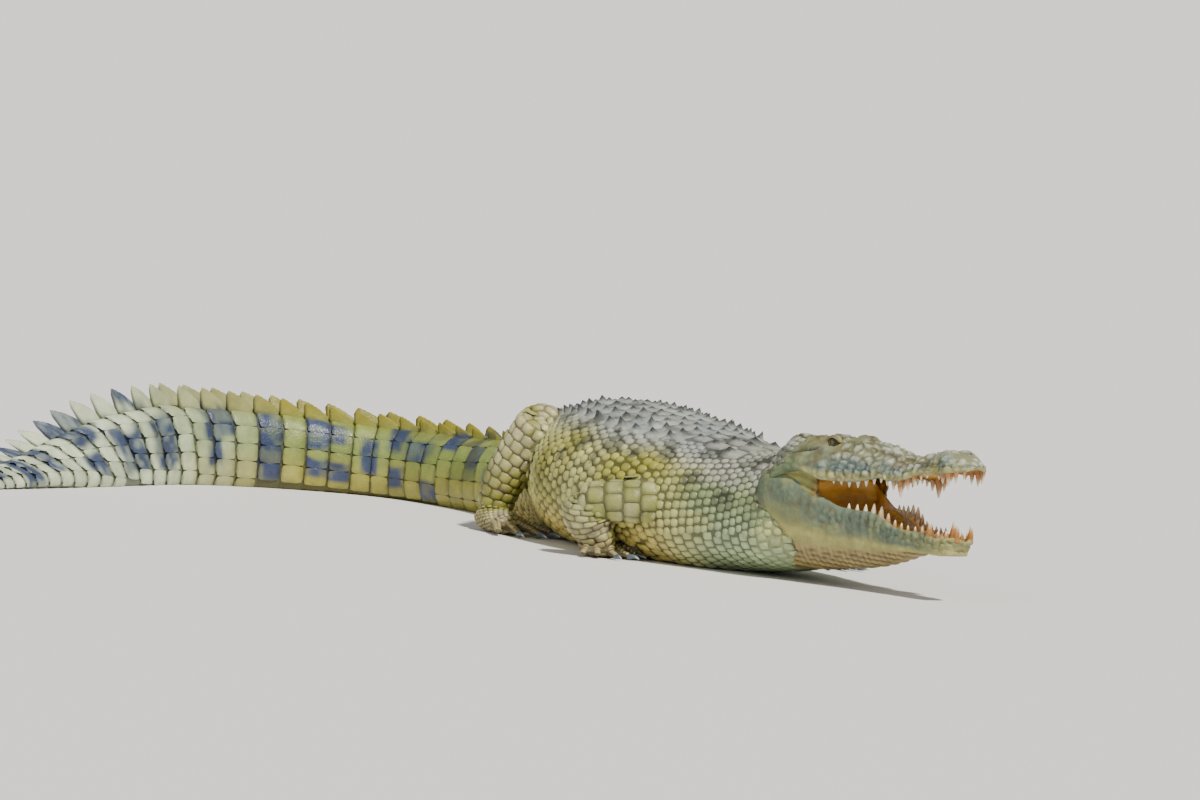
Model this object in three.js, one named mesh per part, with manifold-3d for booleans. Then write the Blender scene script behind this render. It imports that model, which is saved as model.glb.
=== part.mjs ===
import * as THREE from "three";
import { mergeVertices } from "three/addons/utils/BufferGeometryUtils.js";
import Module from "manifold-3d";

const wasm = await Module();
wasm.setup();

// A large adult Nile crocodile basking on its belly with the jaws agape, at life size in millimetres.
// +Z is up and the floor is z = 0. Its head turns to its left and its tail curves to its right.

// ---- driving dimensions ----
const skullLength = 540; // snout tip to the back of the skull table
const bodyLength = 3400; // back of the skull to the tail tip, along the back
const headScale = skullLength / 560; // the head's own tables are written for a 560 mm skull
const upperPitch = 9.5; // degrees the upper jaw is raised
const lowerPitch = -6.2; // degrees the lower jaw drops
const jawJoint = { back: 15, height: 212 }; // behind the skull table, and above the floor
const cutGap = 0.3; // the thin cut between neighbouring solids
const jointGap = 0.8; // the cut at a bent knee or elbow

// Which way the backbone runs, in degrees from the -X axis towards +Y, by distance behind the skull.
const headings = [[0, 48], [250, 51], [500, 59], [750, 71], [950, 74], [1150, 66], [1400, 56],
  [1700, 43], [2000, -3],
  [2300, -33], [2600, -62], [2900, -62], [3400, -59]];
const headYaw = headings[0][1];

// Half width, height and shape of the body, by distance behind the skull.
const halfWidths = [[-60, 116], [0, 158], [120, 182], [280, 232], [480, 270], [660, 266], [820, 230],
  [970, 190], [1100, 166],
  [1300, 142], [1500, 120], [1800, 96], [2100, 80], [2400, 64], [2700, 47], [3000, 30], [3400, 6]];
const heights = [[-60, 236], [0, 278], [150, 282], [320, 300], [540, 326], [760, 336], [900, 322],
  [1060, 272], [1230, 218],
  [1400, 188], [1600, 174], [1900, 172], [2200, 184], [2450, 188], [2650, 166], [2850, 128], [3100, 84],
  [3400, 14]];
const squareness = [[0, 2.3], [900, 2.25], [1500, 2.7], [2300, 3.0], [3400, 2.4]];
// below the floor, before it is pressed flat
const sinks = [[-60, -52], [0, -24], [140, -4], [260, 20], [1400, 20], [2600, 16], [3400, 4]];
const widestLevel = 0.42; // share of the height where a section is widest

// The tail leans over to the animal's left towards its tip, and its rings rake back at the top.
const lean = { from: 2510, to: 3115, angle: 64 };
const rake = { from: 2160, to: 2640, slope: 0.55 };

// Tail rings: 18 carry two crest scutes, the rest one.
const ringStart = 1280;
const ringCount = 38;
const pairedRings = 18;
const ringLengths = [[0, 55], [4, 65], [10, 69], [18, 67], [26, 56], [32, 38], [38, 20]];
const crestHeights = [[0, 17], [5, 19], [10, 24], [15, 34], [18, 50], [22, 60], [28, 46], [34, 30],
  [38, 12]];
const crestSpread = [[0, 46], [8, 40], [14, 32], [18, 20]];
const crestThickness = 9;

// ---- small helpers ----
const radians = (degrees) => (degrees * Math.PI) / 180;
const smooth = (t) => {
  const c = Math.min(1, Math.max(0, t));
  return c * c * (3 - 2 * c);
};

// A smooth curve through [place, value] pairs that never overshoots them.
function track(pairs, place) {
  const last = pairs.length - 1;
  if (place <= pairs[0][0]) return pairs[0][1];
  if (place >= pairs[last][0]) return pairs[last][1];
  const slope = (i) => (pairs[i + 1][1] - pairs[i][1]) / (pairs[i + 1][0] - pairs[i][0]);
  const tangent = (i) => {
    if (i === 0) return slope(0);
    if (i === last) return slope(last - 1);
    const a = slope(i - 1);
    const b = slope(i);
    return a * b <= 0 ? 0 : (2 * a * b) / (a + b);
  };
  let i = 0;
  while (place > pairs[i + 1][0]) i += 1;
  const span = pairs[i + 1][0] - pairs[i][0];
  const t = (place - pairs[i][0]) / span;
  const [p, q, m, n] = [pairs[i][1], pairs[i + 1][1], tangent(i) * span, tangent(i + 1) * span];
  return p + t * (m + t * (3 * (q - p) - 2 * m - n + t * (2 * (p - q) + m + n)));
}

// A closed solid from a geometry or from rings of points joined end to end.
function solidFromGeometry(geometry) {
  const plain = geometry.index ? geometry.toNonIndexed() : geometry.clone();
  plain.deleteAttribute("normal");
  plain.deleteAttribute("uv");
  const merged = mergeVertices(plain, 1e-3);
  const faces = [];
  for (let n = 0; n < merged.index.count; n += 3) {
    const [a, b, c] = merged.index.array.slice(n, n + 3);
    if (a !== b && b !== c && c !== a) faces.push(a, b, c); // faces shrunk to a line at a tip are left out
  }
  return new wasm.Manifold(new wasm.Mesh({
    numProp: 3,
    vertProperties: new Float32Array(merged.attributes.position.array),
    triVerts: new Uint32Array(faces),
  }));
}

function loft(rings) {
  const count = rings[0].length;
  const points = rings.flat();
  const index = [];
  const centre = (ring) =>
    ring.reduce((sum, p) => sum.add(p), new THREE.Vector3()).divideScalar(ring.length);
  for (let r = 0; r < rings.length - 1; r += 1) {
    for (let i = 0; i < count; i += 1) {
      const j = (i + 1) % count;
      const [a, b, c, d] = [r * count + i, r * count + j, (r + 1) * count + j, (r + 1) * count + i];
      index.push(a, b, c, a, c, d);
    }
  }
  const first = points.length;
  points.push(centre(rings[0]), centre(rings[rings.length - 1]));
  const lastRow = (rings.length - 1) * count;
  for (let i = 0; i < count; i += 1) {
    const j = (i + 1) % count;
    index.push(first, j, i, first + 1, lastRow + i, lastRow + j);
  }
  const geometry = new THREE.BufferGeometry().setFromPoints(points);
  geometry.setIndex(index);
  const made = solidFromGeometry(geometry);
  if (made.volume() >= 0) return made;
  geometry.setIndex(index.map((_, n) => index[n - (n % 3) + [0, 2, 1][n % 3]]));
  return solidFromGeometry(geometry);
}

const steps = (from, to, count) =>
  Array.from({ length: count + 1 }, (_, i) => from + ((to - from) * i) / count);
const join = (solids) => solids.reduce((all, s) => all.add(s));
const carve = (solid, others) => others.reduce((left, s) => left.subtract(s), solid);

// ---- backbone ----
const headingAt = (s) => radians(track(headings, s));

// Plan positions every 5 mm, from 600 mm ahead of the skull's back to past the tail tip.
const spineStep = 5;
const spine = [new THREE.Vector2(0, 0)];
for (let s = 0; s < bodyLength + 200; s += spineStep) {
  const angle = headingAt(s + spineStep / 2);
  const last = spine[spine.length - 1];
  spine.push(new THREE.Vector2(last.x - Math.cos(angle) * spineStep, last.y + Math.sin(angle) * spineStep));
}

function spineAt(s) {
  if (s <= 0) return new THREE.Vector2(-Math.cos(headingAt(0)) * s, Math.sin(headingAt(0)) * s);
  const i = Math.min(spine.length - 2, Math.floor(s / spineStep));
  return spine[i].clone().lerp(spine[i + 1], s / spineStep - i);
}

// A point at distance s behind the skull, so far out to the animal's right, and up.
function bodyPoint(s, right, up) {
  const middle = spineAt(s);
  const angle = headingAt(s);
  return new THREE.Vector3(middle.x - Math.sin(angle) * right, middle.y - Math.cos(angle) * right, up);
}

// ---- body sections ----
const power = (value, exponent) => Math.sign(value) * Math.abs(value) ** exponent;
const leanAt = (s) => radians(lean.angle * smooth((s - lean.from) / (lean.to - lean.from)));
const rakeAt = (s) => rake.slope * smooth((s - rake.from) / (rake.to - rake.from));
const rakedPlace = (s, up) => s + rakeAt(s) * (up - 0.25 * track(heights, s));

// Right and up offsets of a section point before the lean; turn 0 is the top and a quarter turn the right side.
function sectionPoint(s, turn, grow) {
  const width = track(halfWidths, s) + grow;
  const height = track(heights, s) + grow;
  const middle = height * widestLevel;
  const exponent = 2 / track(squareness, s);
  const cosine = Math.cos(turn);
  const reach = cosine > 0 ? height - middle : middle + track(sinks, s);
  return [width * power(Math.sin(turn), exponent), middle + reach * power(cosine, exponent)];
}

// Turns a section point over by the tail's lean and keeps the section on the floor.
function leanPoint(s, right, up) {
  const angle = leanAt(s);
  const pivot = track(halfWidths, s) * 0.9;
  return [
    right * Math.cos(angle) - (up - pivot) * Math.sin(angle),
    pivot + right * Math.sin(angle) + (up - pivot) * Math.cos(angle),
  ];
}

function bodySurface(s, turn, grow = 0) {
  const [right, up] = sectionPoint(s, turn, grow);
  return bodyPoint(rakedPlace(s, up), ...leanPoint(s, right, up));
}

const ringOf = (s, count, grow) =>
  Array.from({ length: count }, (_, i) => bodySurface(s, (2 * Math.PI * i) / count, grow));

const bodyLength3d = (from, to, stations, count, grow = 0) =>
  loft(steps(from, to, stations).map((s) => ringOf(s, count, grow)));

// Everything below the floor is cut away, which leaves the flats that the animal lies on.
const below = solidFromGeometry(new THREE.BoxGeometry(8000, 8000, 400).translate(0, 0, -200));
const onFloor = (solid) => solid.subtract(below);

// ---- tail crest ----
const ringEdges = [ringStart];
for (let k = 0; k < ringCount; k += 1) ringEdges.push(ringEdges[k] + track(ringLengths, k));
const tailScale = (bodyLength - 12 - ringStart) / (ringEdges[ringCount] - ringStart);
ringEdges.forEach((edge, k) => {
  ringEdges[k] = ringStart + (edge - ringStart) * tailScale;
});

// One crest scute: a thin blade on the back, leaning back to a point over the ring's rear edge.
function crestScute(k, side) {
  const [front, back] = [ringEdges[k] + 1.5, ringEdges[k + 1] - 1.5];
  const height = track(crestHeights, k);
  const spread = side * track(crestSpread, k);
  const thick = crestThickness * (1 - 0.5 * (k / ringCount));
  const blade = (s, across, lift) => {
    const up = track(heights, s) - 16 + (16 + height) * lift;
    return bodyPoint(rakedPlace(s, up), ...leanPoint(s, spread * (1 + 0.25 * lift) + across, up));
  };
  const outline = [[0, 0], [0.4, 0.62], [1.06, 1], [1, 0]];
  const ring = (across) => outline.map(([t, lift]) =>
    blade(front + (back - front) * t, across * (1 - 0.75 * lift), lift));
  return loft([ring(-thick / 2), ring(thick / 2)]);
}

const sidesOf = (k) => (k < pairedRings ? [-1, 1] : [0]);
const crestOf = (fromRing, toRing) => {
  const scutes = [];
  for (let k = fromRing; k < toRing; k += 1) sidesOf(k).forEach((side) => scutes.push(crestScute(k, side)));
  return scutes;
};

// ---- head, in its own frame: x forward from the skull's back, y to the left, z up from the lip line ----
const snoutWidths = [[0, 4], [8, 30], [24, 46], [50, 55], [75, 52], [97, 45], [125, 52], [160, 64],
  [195, 70], [235, 73],
  [280, 81], [320, 93], [360, 108], [420, 128], [480, 146], [530, 157], [575, 138], [600, 120]];
const lipHeights = [[0, 10], [12, 5], [40, 5], [70, 3], [97, 5], [130, 9], [160, 2], [195, -5],
  [225, -4], [260, 5], [290, 3],
  [330, 1], [370, 5], [410, 9], [440, 22], [470, 33], [500, 31], [540, 18], [600, -6]];
const topHeights = [[0, 18], [10, 27], [25, 39], [40, 48], [60, 56], [85, 58], [110, 54], [140, 49],
  [165, 46], [200, 48], [240, 56], [285, 70], [325, 85], [355, 94], [390, 101], [430, 106], [480, 114],
  [525, 118], [548, 115], [562, 106], [600, 104]];
const tableWidths = [[0, 3], [10, 18], [52, 30], [100, 22], [160, 28], [260, 40], [340, 46], [400, 50],
  [440, 58], [520, 72], [600, 78]];

// The upper head's section at t behind the snout tip: palate, lip, cheek and the flat top.
function upperSection(t) {
  const wide = track(snoutWidths, t);
  const lip = track(lipHeights, t);
  const top = track(topHeights, t);
  const table = track(tableWidths, t);
  const rise = top - lip;
  const eyeRidge = 10 * Math.exp(-(((t - 420) / 36) ** 2));
  const half = [
    [0, lip + 0.2 * rise], [0.62 * wide, lip + 0.16 * rise], [0.88 * wide, lip - 4], [wide, lip + 1],
    [wide, lip + 0.2 * rise], [0.95 * wide, lip + 0.38 * rise],
    [0.5 * wide + 0.5 * table, lip + 0.7 * rise], [table + 5, lip + 0.93 * rise],
    [table - 4, top + eyeRidge], [table * 0.5, top - 2],
  ];
  const right = half.slice(1).map(([y, z]) => [-y, z]).reverse();
  return [...half, [0, top - 1], ...right];
}

const jawSetBack = 25; // how far the lower jaw's tip lies behind the snout tip
const jawWidths = [[0, 4], [8, 24], [26, 38], [60, 44], [100, 42], [150, 52], [200, 60], [260, 73],
  [320, 92], [380, 112],
  [440, 132], [500, 150], [540, 156], [582, 134], [640, 110]];
const edgeHeights = [[0, -12], [8, -6], [26, -9], [60, -17], [100, -15], [150, -19], [180, -20],
  [205, -13], [232, -3], [262, 0],
  [300, -4], [340, -5], [380, 4], [410, 14], [440, 26], [480, 40], [520, 42], [560, 36], [640, 20]];
const borderHeights = [[0, -30], [10, -44], [26, -51], [60, -56], [100, -60], [150, -65], [200, -70],
  [260, -76], [320, -82], [380, -87],
  [440, -90], [500, -84], [560, -70], [640, -56]];
const throatHeights = [[0, -32], [12, -48], [60, -58], [110, -62], [150, -80], [200, -104], [260, -128],
  [320, -146], [380, -160],
  [440, -176], [520, -190], [640, -200]];
const floorDepths = [[0, 4], [60, 12], [140, 16], [300, 32], [420, 66], [500, 84], [560, 70], [640, 40]];

// The lower jaw's section at t behind its tip: the mouth's floor, the toothed edge,
// the side and the throat.
function lowerSection(t) {
  const wide = track(jawWidths, t);
  const edge = track(edgeHeights, t);
  const border = track(borderHeights, t);
  const throat = Math.min(track(throatHeights, t), border - 1);
  const floor = edge - track(floorDepths, t);
  const bulge = 1 + 0.05 * smooth((t - 300) / 200);
  const half = [
    [0, floor], [0.5 * wide, floor - 1], [0.74 * wide, 0.5 * (floor + edge)], [0.83 * wide, edge - 3],
    [0.93 * wide, edge + 1],
    [wide * bulge, 0.75 * edge + 0.25 * border], [wide * bulge, 0.35 * edge + 0.65 * border],
      [0.93 * wide, border],
    [0.72 * wide, 0.4 * border + 0.6 * throat], [0.4 * wide, 0.04 * border + 0.96 * throat],
  ];
  const right = half.slice(1).map(([y, z]) => [-y, z]).reverse();
  return [...half, [0, throat], ...right];
}

// Places head points in the world: pitched about the jaw joint, turned by the head's yaw.
function headPoint(t, y, z, pitch) {
  const forward = skullLength - t * headScale + jawJoint.back;
  const [across, rise] = [y * headScale, z * headScale];
  const angle = radians(pitch);
  const reach = forward * Math.cos(angle) - rise * Math.sin(angle) - jawJoint.back;
  const up = jawJoint.height + forward * Math.sin(angle) + rise * Math.cos(angle);
  const yaw = radians(headYaw);
  return new THREE.Vector3(
    reach * Math.cos(yaw) + across * Math.sin(yaw),
    -reach * Math.sin(yaw) + across * Math.cos(yaw),
    up,
  );
}

const upperPoint = (t, y, z) => headPoint(t, y, z, upperPitch);
const lowerPoint = (t, y, z) => headPoint(t + jawSetBack, y, z, lowerPitch);

// Moves every corner of a section outwards by the same amount.
function offsetSection(ring, grow) {
  const area = ring.reduce((sum, [y, z], i) => {
    const [v, w] = ring[(i + 1) % ring.length];
    return sum + y * w - v * z;
  }, 0);
  return ring.map(([y, z], i) => {
    const [a, b] = [ring[(i + ring.length - 1) % ring.length], ring[(i + 1) % ring.length]];
    const [along, up] = [b[0] - a[0], b[1] - a[1]];
    const size = (Math.sign(area) * grow) / (Math.hypot(along, up) || 1);
    return [y + up * size, z - along * size];
  });
}

// The first and last sections move outwards with the rest when a solid is grown.
const headLoft = (section, places, pointAt, grow = 0) =>
  loft(places.map((t, i) => {
    const shift = i === 0 ? -grow : i === places.length - 1 ? grow : 0;
    return offsetSection(section(t), grow).map(([y, z]) => pointAt(t + shift, y, z));
  }));

const upperPlaces = [0, 5, 22, 50, 97, 130, 165, 205, 260, 320, 370, 400, 425, 455, 500, 540, 572];
const lowerPlaces = [0, 6, 26, 60, 105, 175, 205, 232, 290, 360, 420, 460, 510, 550, 580];

// Teeth, as [distance behind the tip, length, radius], for one side.
const upperTeeth = [[12, 22, 5], [28, 30, 6.5], [48, 34, 8], [68, 26, 6.5], [84, 16, 5], [122, 16, 5],
  [138, 20, 5.5],
  [156, 26, 6.5], [174, 32, 7.5], [196, 44, 9.5], [218, 26, 7], [238, 18, 5.5], [256, 16, 5],
  [276, 18, 5.5], [298, 20, 6],
  [320, 20, 6], [342, 18, 5.5], [362, 14, 5], [382, 12, 4.5]];
const lowerTeeth = [[8, 36, 7.5], [30, 18, 5.5], [52, 20, 6], [84, 36, 8.5], [108, 16, 5], [128, 14, 5],
  [148, 14, 5], [168, 16, 5],
  [188, 18, 5.5], [210, 22, 6.5], [232, 26, 7.5], [254, 24, 7], [276, 18, 6], [298, 16, 5.5], [320, 14, 5]];

// A curved conical tooth standing on the jaw's edge at t; way is 1 for upwards and -1 for downwards.
function tooth([t, length, radius], side, jaw) {
  const rings = [0, 1].map((share) => {
    const r = radius * (1 - share);
    const along = t + 3 * share ** 2;
    const y = side * (track(jaw.widths, t) * jaw.inset + 3 * share * (1 - share));
    const z = track(jaw.heights, t) + jaw.way * (length * share - 9);
    return Array.from({ length: 5 }, (_, i) => {
      const a = (2 * Math.PI * i) / 5;
      return jaw.pointAt(along + r * Math.cos(a), y + 0.8 * r * Math.sin(a), z);
    });
  });
  return loft(rings);
}

const teethOf = (list, jaw) => [-1, 1].flatMap((side) => list.map((row) => tooth(row, side, jaw)));
const upperRow = { widths: snoutWidths, heights: lipHeights, inset: 0.87, way: -1, pointAt: upperPoint };
const lowerRow = { widths: jawWidths, heights: edgeHeights, inset: 0.88, way: 1, pointAt: lowerPoint };

// The cheek skin stretched between the jaws at the mouth's corner, one side.
function cheekSkin(side) {
  const rings = steps(0, 1, 4).map((u) => {
    const t = 438 + 100 * u;
    const [low, high] = [track(edgeHeights, t - jawSetBack) - 26, track(lipHeights, t) + 14];
    const wide = side * track(snoutWidths, t);
    const lower = (y) => lowerPoint(t - jawSetBack + 6, y * wide, low);
    const upper = (y) => upperPoint(t - 8, y * wide, high);
    return [lower(0.87), lower(0.93), upper(0.93), upper(0.87)];
  });
  return loft(rings);
}

// ---- eyes ----
const eye = { t: 421, y: 56, z: 91, radius: 18 };
const eyeBall = (side, radius) => {
  const centre = upperPoint(eye.t, side * eye.y, eye.z);
  const ball = new THREE.IcosahedronGeometry(radius, 1);
  return solidFromGeometry(ball.translate(centre.x, centre.y, centre.z));
};

// ---- limbs ----
// A limb is a chain of stations {s, right, up, wide, thick} in body terms, joined by smooth curves.
function limbLoft(stations, side, grow = 0, perSpan = 2, count = 9) {
  const centres = new THREE.CatmullRomCurve3(
    stations.map((p) => bodyPoint(p.s, side * p.right, p.up)), false, "centripetal");
  const spans = stations.length - 1;
  const size = (u, key) => {
    const pairs = stations.map((p, i) => [i, p[key]]);
    return track(pairs, u * spans) + grow;
  };
  const backwards = bodyPoint(stations[0].s + 1, 0, 0).sub(bodyPoint(stations[0].s, 0, 0));
  // the wide way of a section, carried along the limb without a twist
  const wide = backwards.multiplyScalar(-1);
  const rings = steps(0, 1, spans * perSpan).map((u) => {
    const along = centres.getTangent(u);
    const centre = centres.getPoint(u).addScaledVector(along, u === 0 ? -grow : u === 1 ? grow : 0);
    wide.addScaledVector(along, -wide.dot(along)).normalize();
    const across = wide.clone();
    const over = new THREE.Vector3().crossVectors(across, along).normalize();
    return Array.from({ length: count }, (_, i) => {
      const a = (2 * Math.PI * i) / count;
      return centre.clone()
        .addScaledVector(across, size(u, "wide") * Math.cos(a))
        .addScaledVector(over, size(u, "thick") * Math.sin(a));
    });
  });
  return loft(rings);
}

// Stations are [distance behind the skull, out to the side, up, half width, half thickness].
const named = (rows) => rows.map(([s, right, up, wide, thick]) => ({ s, right, up, wide, thick }));

const legs = {
  front_right: {
    side: 1,
    upper: named([[265, 130, 140, 60, 62], [310, 205, 140, 54, 54], [360, 275, 134, 48, 48],
      [400, 318, 124, 46, 48]]),
    lower: named([[402, 318, 126, 54, 54], [406, 308, 90, 66, 50], [404, 288, 56, 58, 40],
      [406, 272, 32, 45, 29]]),
    palm: { s: 410, right: 268, up: 20, wide: 44, thick: 20, length: 36 },
    toes: { heading: 4, spread: 100, count: 5, lengths: [50, 62, 66, 60, 48], radius: 11, clawed: 3 },
  },
  front_left: {
    side: -1,
    upper: named([[265, 130, 150, 62, 70], [300, 215, 156, 60, 62], [340, 300, 148, 52, 54],
      [378, 352, 128, 48, 50]]),
    lower: named([[384, 356, 124, 54, 54], [372, 354, 88, 64, 50], [346, 346, 55, 56, 40],
      [322, 338, 32, 45, 29]]),
    palm: { s: 306, right: 334, up: 20, wide: 44, thick: 20, length: 36 },
    toes: { heading: 12, spread: 100, count: 5, lengths: [50, 62, 66, 60, 48], radius: 11, clawed: 3 },
  },
  hind_right: {
    side: 1,
    upper: named([[1085, 70, 165, 90, 90], [1005, 118, 205, 80, 78], [920, 172, 242, 64, 60],
      [866, 200, 256, 54, 52]]),
    lower: named([[848, 212, 256, 55, 56], [870, 236, 198, 56, 54], [900, 266, 124, 54, 48],
      [914, 280, 62, 44, 42]]),
    palm: { s: 866, right: 280, up: 30, wide: 46, thick: 30, length: 74 },
    toes: { heading: -14, spread: 46, count: 4, lengths: [92, 108, 104, 80], radius: 12.5, clawed: 3 },
  },
  hind_left: {
    side: -1,
    upper: named([[1085, 70, 165, 90, 90], [1010, 130, 195, 80, 78], [935, 190, 215, 64, 60],
      [882, 222, 220, 54, 52]]),
    lower: named([[866, 236, 220, 55, 56], [896, 264, 168, 56, 54], [936, 292, 108, 54, 48],
      [956, 306, 60, 44, 42]]),
    palm: { s: 912, right: 308, up: 30, wide: 46, thick: 30, length: 74 },
    toes: { heading: 4, spread: 46, count: 4, lengths: [92, 108, 104, 80], radius: 12.5, clawed: 3 },
  },
};

// The frame of a foot: its middle, its forward direction and its outward direction.
function footFrame(leg) {
  const { palm, toes, side } = leg;
  const centre = bodyPoint(palm.s, side * palm.right, 0);
  const forwardAngle = -headingAt(palm.s) - side * radians(toes.heading);
  const forward = new THREE.Vector3(Math.cos(forwardAngle), Math.sin(forwardAngle), 0);
  const right = new THREE.Vector3(Math.sin(forwardAngle), -Math.cos(forwardAngle), 0);
  const outward = right.multiplyScalar(side);
  return { centre, forward, outward };
}

// A toe's middle line: out from the palm, arched over its joint, down to the floor.
function toeLine(leg, n) {
  const { palm, toes } = leg;
  const { centre, forward, outward } = footFrame(leg);
  const share = toes.count === 1 ? 0 : n / (toes.count - 1) - 0.5;
  const angle = radians(toes.spread) * share;
  const direction = forward.clone().multiplyScalar(Math.cos(angle))
    .addScaledVector(outward, Math.sin(angle));
  const root = centre.clone().addScaledVector(forward, palm.length * 0.5)
    .addScaledVector(outward, share * palm.wide * 1.5);
  const at = (reach, up) => root.clone().addScaledVector(direction, reach).setZ(up);
  const length = toes.lengths[n];
  return new THREE.CatmullRomCurve3([
    at(-16, toes.radius * 1.2), at(length * 0.35, toes.radius * 1.75),
    at(length * 0.75, toes.radius * 1.15), at(length, toes.radius * 0.8),
  ]);
}

function tube(curve, from, to, radiusAt, stations = 3, count = 6) {
  return loft(steps(from, to, stations).map((u) => {
    const centre = curve.getPoint(Math.min(1, u))
      .addScaledVector(curve.getTangent(1), Math.max(0, u - 1) * curve.getLength());
    const along = curve.getTangent(Math.min(1, u));
    const across = new THREE.Vector3().crossVectors(along, new THREE.Vector3(0, 0, 1)).normalize();
    const over = new THREE.Vector3().crossVectors(across, along).normalize();
    return Array.from({ length: count }, (_, i) => {
      const a = (2 * Math.PI * i) / count;
      return centre.clone()
        .addScaledVector(across, radiusAt(u) * Math.cos(a))
        .addScaledVector(over, radiusAt(u) * Math.sin(a));
    });
  }));
}

function footSolid(leg, grow = 0) {
  const { palm, toes } = leg;
  const { centre, forward, outward } = footFrame(leg);
  const rings = steps(-1, 1, 4).map((u) => {
    const swell = Math.sqrt(Math.max(0.08, 1 - u ** 4));
    const up = palm.up * (1 - 0.25 * u);
    return Array.from({ length: 10 }, (_, i) => {
      const a = (2 * Math.PI * i) / 10;
      return centre.clone().addScaledVector(forward, u * (palm.length + grow))
        .addScaledVector(outward, (palm.wide + grow) * swell * Math.cos(a))
        .setZ(up - 4 + (palm.thick + grow) * swell * Math.sin(a));
    });
  });
  const toesOf = Array.from({ length: toes.count }, (_, n) =>
    tube(toeLine(leg, n), 0, 1, (u) => (toes.radius + grow) * (1 - 0.35 * u * u)));
  return join([loft(rings), ...toesOf]);
}

// A claw: a short curved cone beyond the toe's end.
function claw(leg, n) {
  const curve = toeLine(leg, n);
  const end = curve.getPoint(1);
  const direction = curve.getTangent(1).setZ(0).normalize();
  const length = leg.toes.radius * 2.4;
  const base = leg.toes.radius * 0.56;
  const across = new THREE.Vector3(-direction.y, direction.x, 0);
  const rings = [0, 0.5, 1].map((u) => {
    const middle = end.clone().addScaledVector(direction, cutGap + length * u)
      .setZ(base + 2.5 + 3 * Math.sin(Math.PI * u) - 3.2 * u);
    const r = base * (1 - 0.86 * u ** 1.2);
    return Array.from({ length: 6 }, (_, i) => {
      const a = (Math.PI * i) / 3;
      return middle.clone()
        .addScaledVector(across, 0.75 * r * Math.cos(a))
        .add(new THREE.Vector3(0, 0, r * Math.sin(a)));
    });
  });
  return loft(rings);
}

// ---- build the animal, largest parts first, each carved by its grown neighbours ----
const pieces = [];
const skinMaterial = new THREE.MeshStandardMaterial({ color: 0x9a9a5c, roughness: 0.6, metalness: 0 });
const hornMaterial = new THREE.MeshStandardMaterial({ color: 0x4c473a, roughness: 0.45, metalness: 0 });
const eyeMaterial = new THREE.MeshStandardMaterial({ color: 0x7d7a34, roughness: 0.1, metalness: 0 });
const mouthMaterial = new THREE.MeshStandardMaterial({ color: 0xd09a45, roughness: 0.5, metalness: 0 });

function keep(name, solid, material = skinMaterial) {
  const parts = solid.decompose().sort((a, b) => b.volume() - a.volume());
  const mesh = parts[0].getMesh();
  const geometry = new THREE.BufferGeometry()
    .setAttribute("position", new THREE.BufferAttribute(new Float32Array(mesh.vertProperties), 3))
    .setIndex(new THREE.BufferAttribute(new Uint32Array(mesh.triVerts), 1));
  const made = new THREE.Mesh(geometry, material);
  made.name = name;
  pieces.push(made);
  return parts[0];
}

// Trunk and tail, in lengths with thin cuts between them.
const cuts = { neck: 60, chest: 330, loin: 900, tail: ringStart };
const trunkSolids = [
  keep("trunk_front", onFloor(bodyLength3d(cuts.chest, cuts.loin - cutGap, 8, 20))),
  keep("trunk_rear", onFloor(bodyLength3d(cuts.loin, cuts.tail - cutGap, 7, 20))),
];
const tailBreaks = [0, 6, 12, 18, 25, ringCount];
for (let n = 0; n < tailBreaks.length - 1; n += 1) {
  const [a, b] = [tailBreaks[n], tailBreaks[n + 1]];
  const last = n === tailBreaks.length - 2;
  const end = last ? bodyLength : ringEdges[b] - cutGap;
  const flesh = bodyLength3d(ringEdges[a], end, last ? 7 : 4, 14);
  keep(`tail_${n + 1}`, onFloor(join([flesh, ...crestOf(a, b)])));
}

// Head: the upper half with its teeth and eye sockets, the lower jaw, the tongue,
// then the neck round their back ends.
const upperHead = headLoft(upperSection, upperPlaces, upperPoint);
const grownUpper = headLoft(upperSection, upperPlaces, upperPoint, 2 * cutGap);
const lowerJaw = headLoft(lowerSection, lowerPlaces, lowerPoint);
const grownLower = headLoft(lowerSection, lowerPlaces, lowerPoint, 2 * cutGap);
const sockets = [1, -1].map((side) => eyeBall(side, eye.radius + cutGap));
keep("head_upper", carve(join([upperHead, ...teethOf(upperTeeth, upperRow)]), sockets));
const cheeks = [1, -1].map(cheekSkin);
keep("jaw_lower", onFloor(carve(join([lowerJaw, ...cheeks, ...teethOf(lowerTeeth, lowerRow)]),
  [grownUpper])));
[["left", 1], ["right", -1]].forEach(([word, side]) => {
  keep(`eye_${word}`, eyeBall(side, eye.radius), eyeMaterial);
});

// The tongue lies on the mouth's floor.
const tongueRings = steps(0, 1, 8).map((u) => {
  const t = 150 + 270 * u;
  const wide = track(jawWidths, t) * 0.56 * Math.sqrt(Math.max(0.02, 1 - (2 * u - 1) ** 4));
  const base = track(edgeHeights, t) - track(floorDepths, t) + 1;
  const rise = 4 + 30 * Math.sin(Math.PI * u) ** 0.7;
  const upper = [[-1, 0.15], [-0.9, 0.6], [-0.5, 0.95], [0, 1], [0.5, 0.95], [0.9, 0.6], [1, 0.15]];
  return [...upper.map(([y, k]) => [y * wide, base + rise * k]), [0.6 * wide, base], [-0.6 * wide, base]]
    .map(([y, z]) => lowerPoint(t, y, z));
});
keep("tongue", carve(loft(tongueRings), [grownLower]), mouthMaterial);

const neck = bodyLength3d(-60, cuts.chest - cutGap, 7, 20);
keep("neck", onFloor(carve(neck, [grownUpper, grownLower, ...cheeks.map((c) => c)])));

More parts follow.
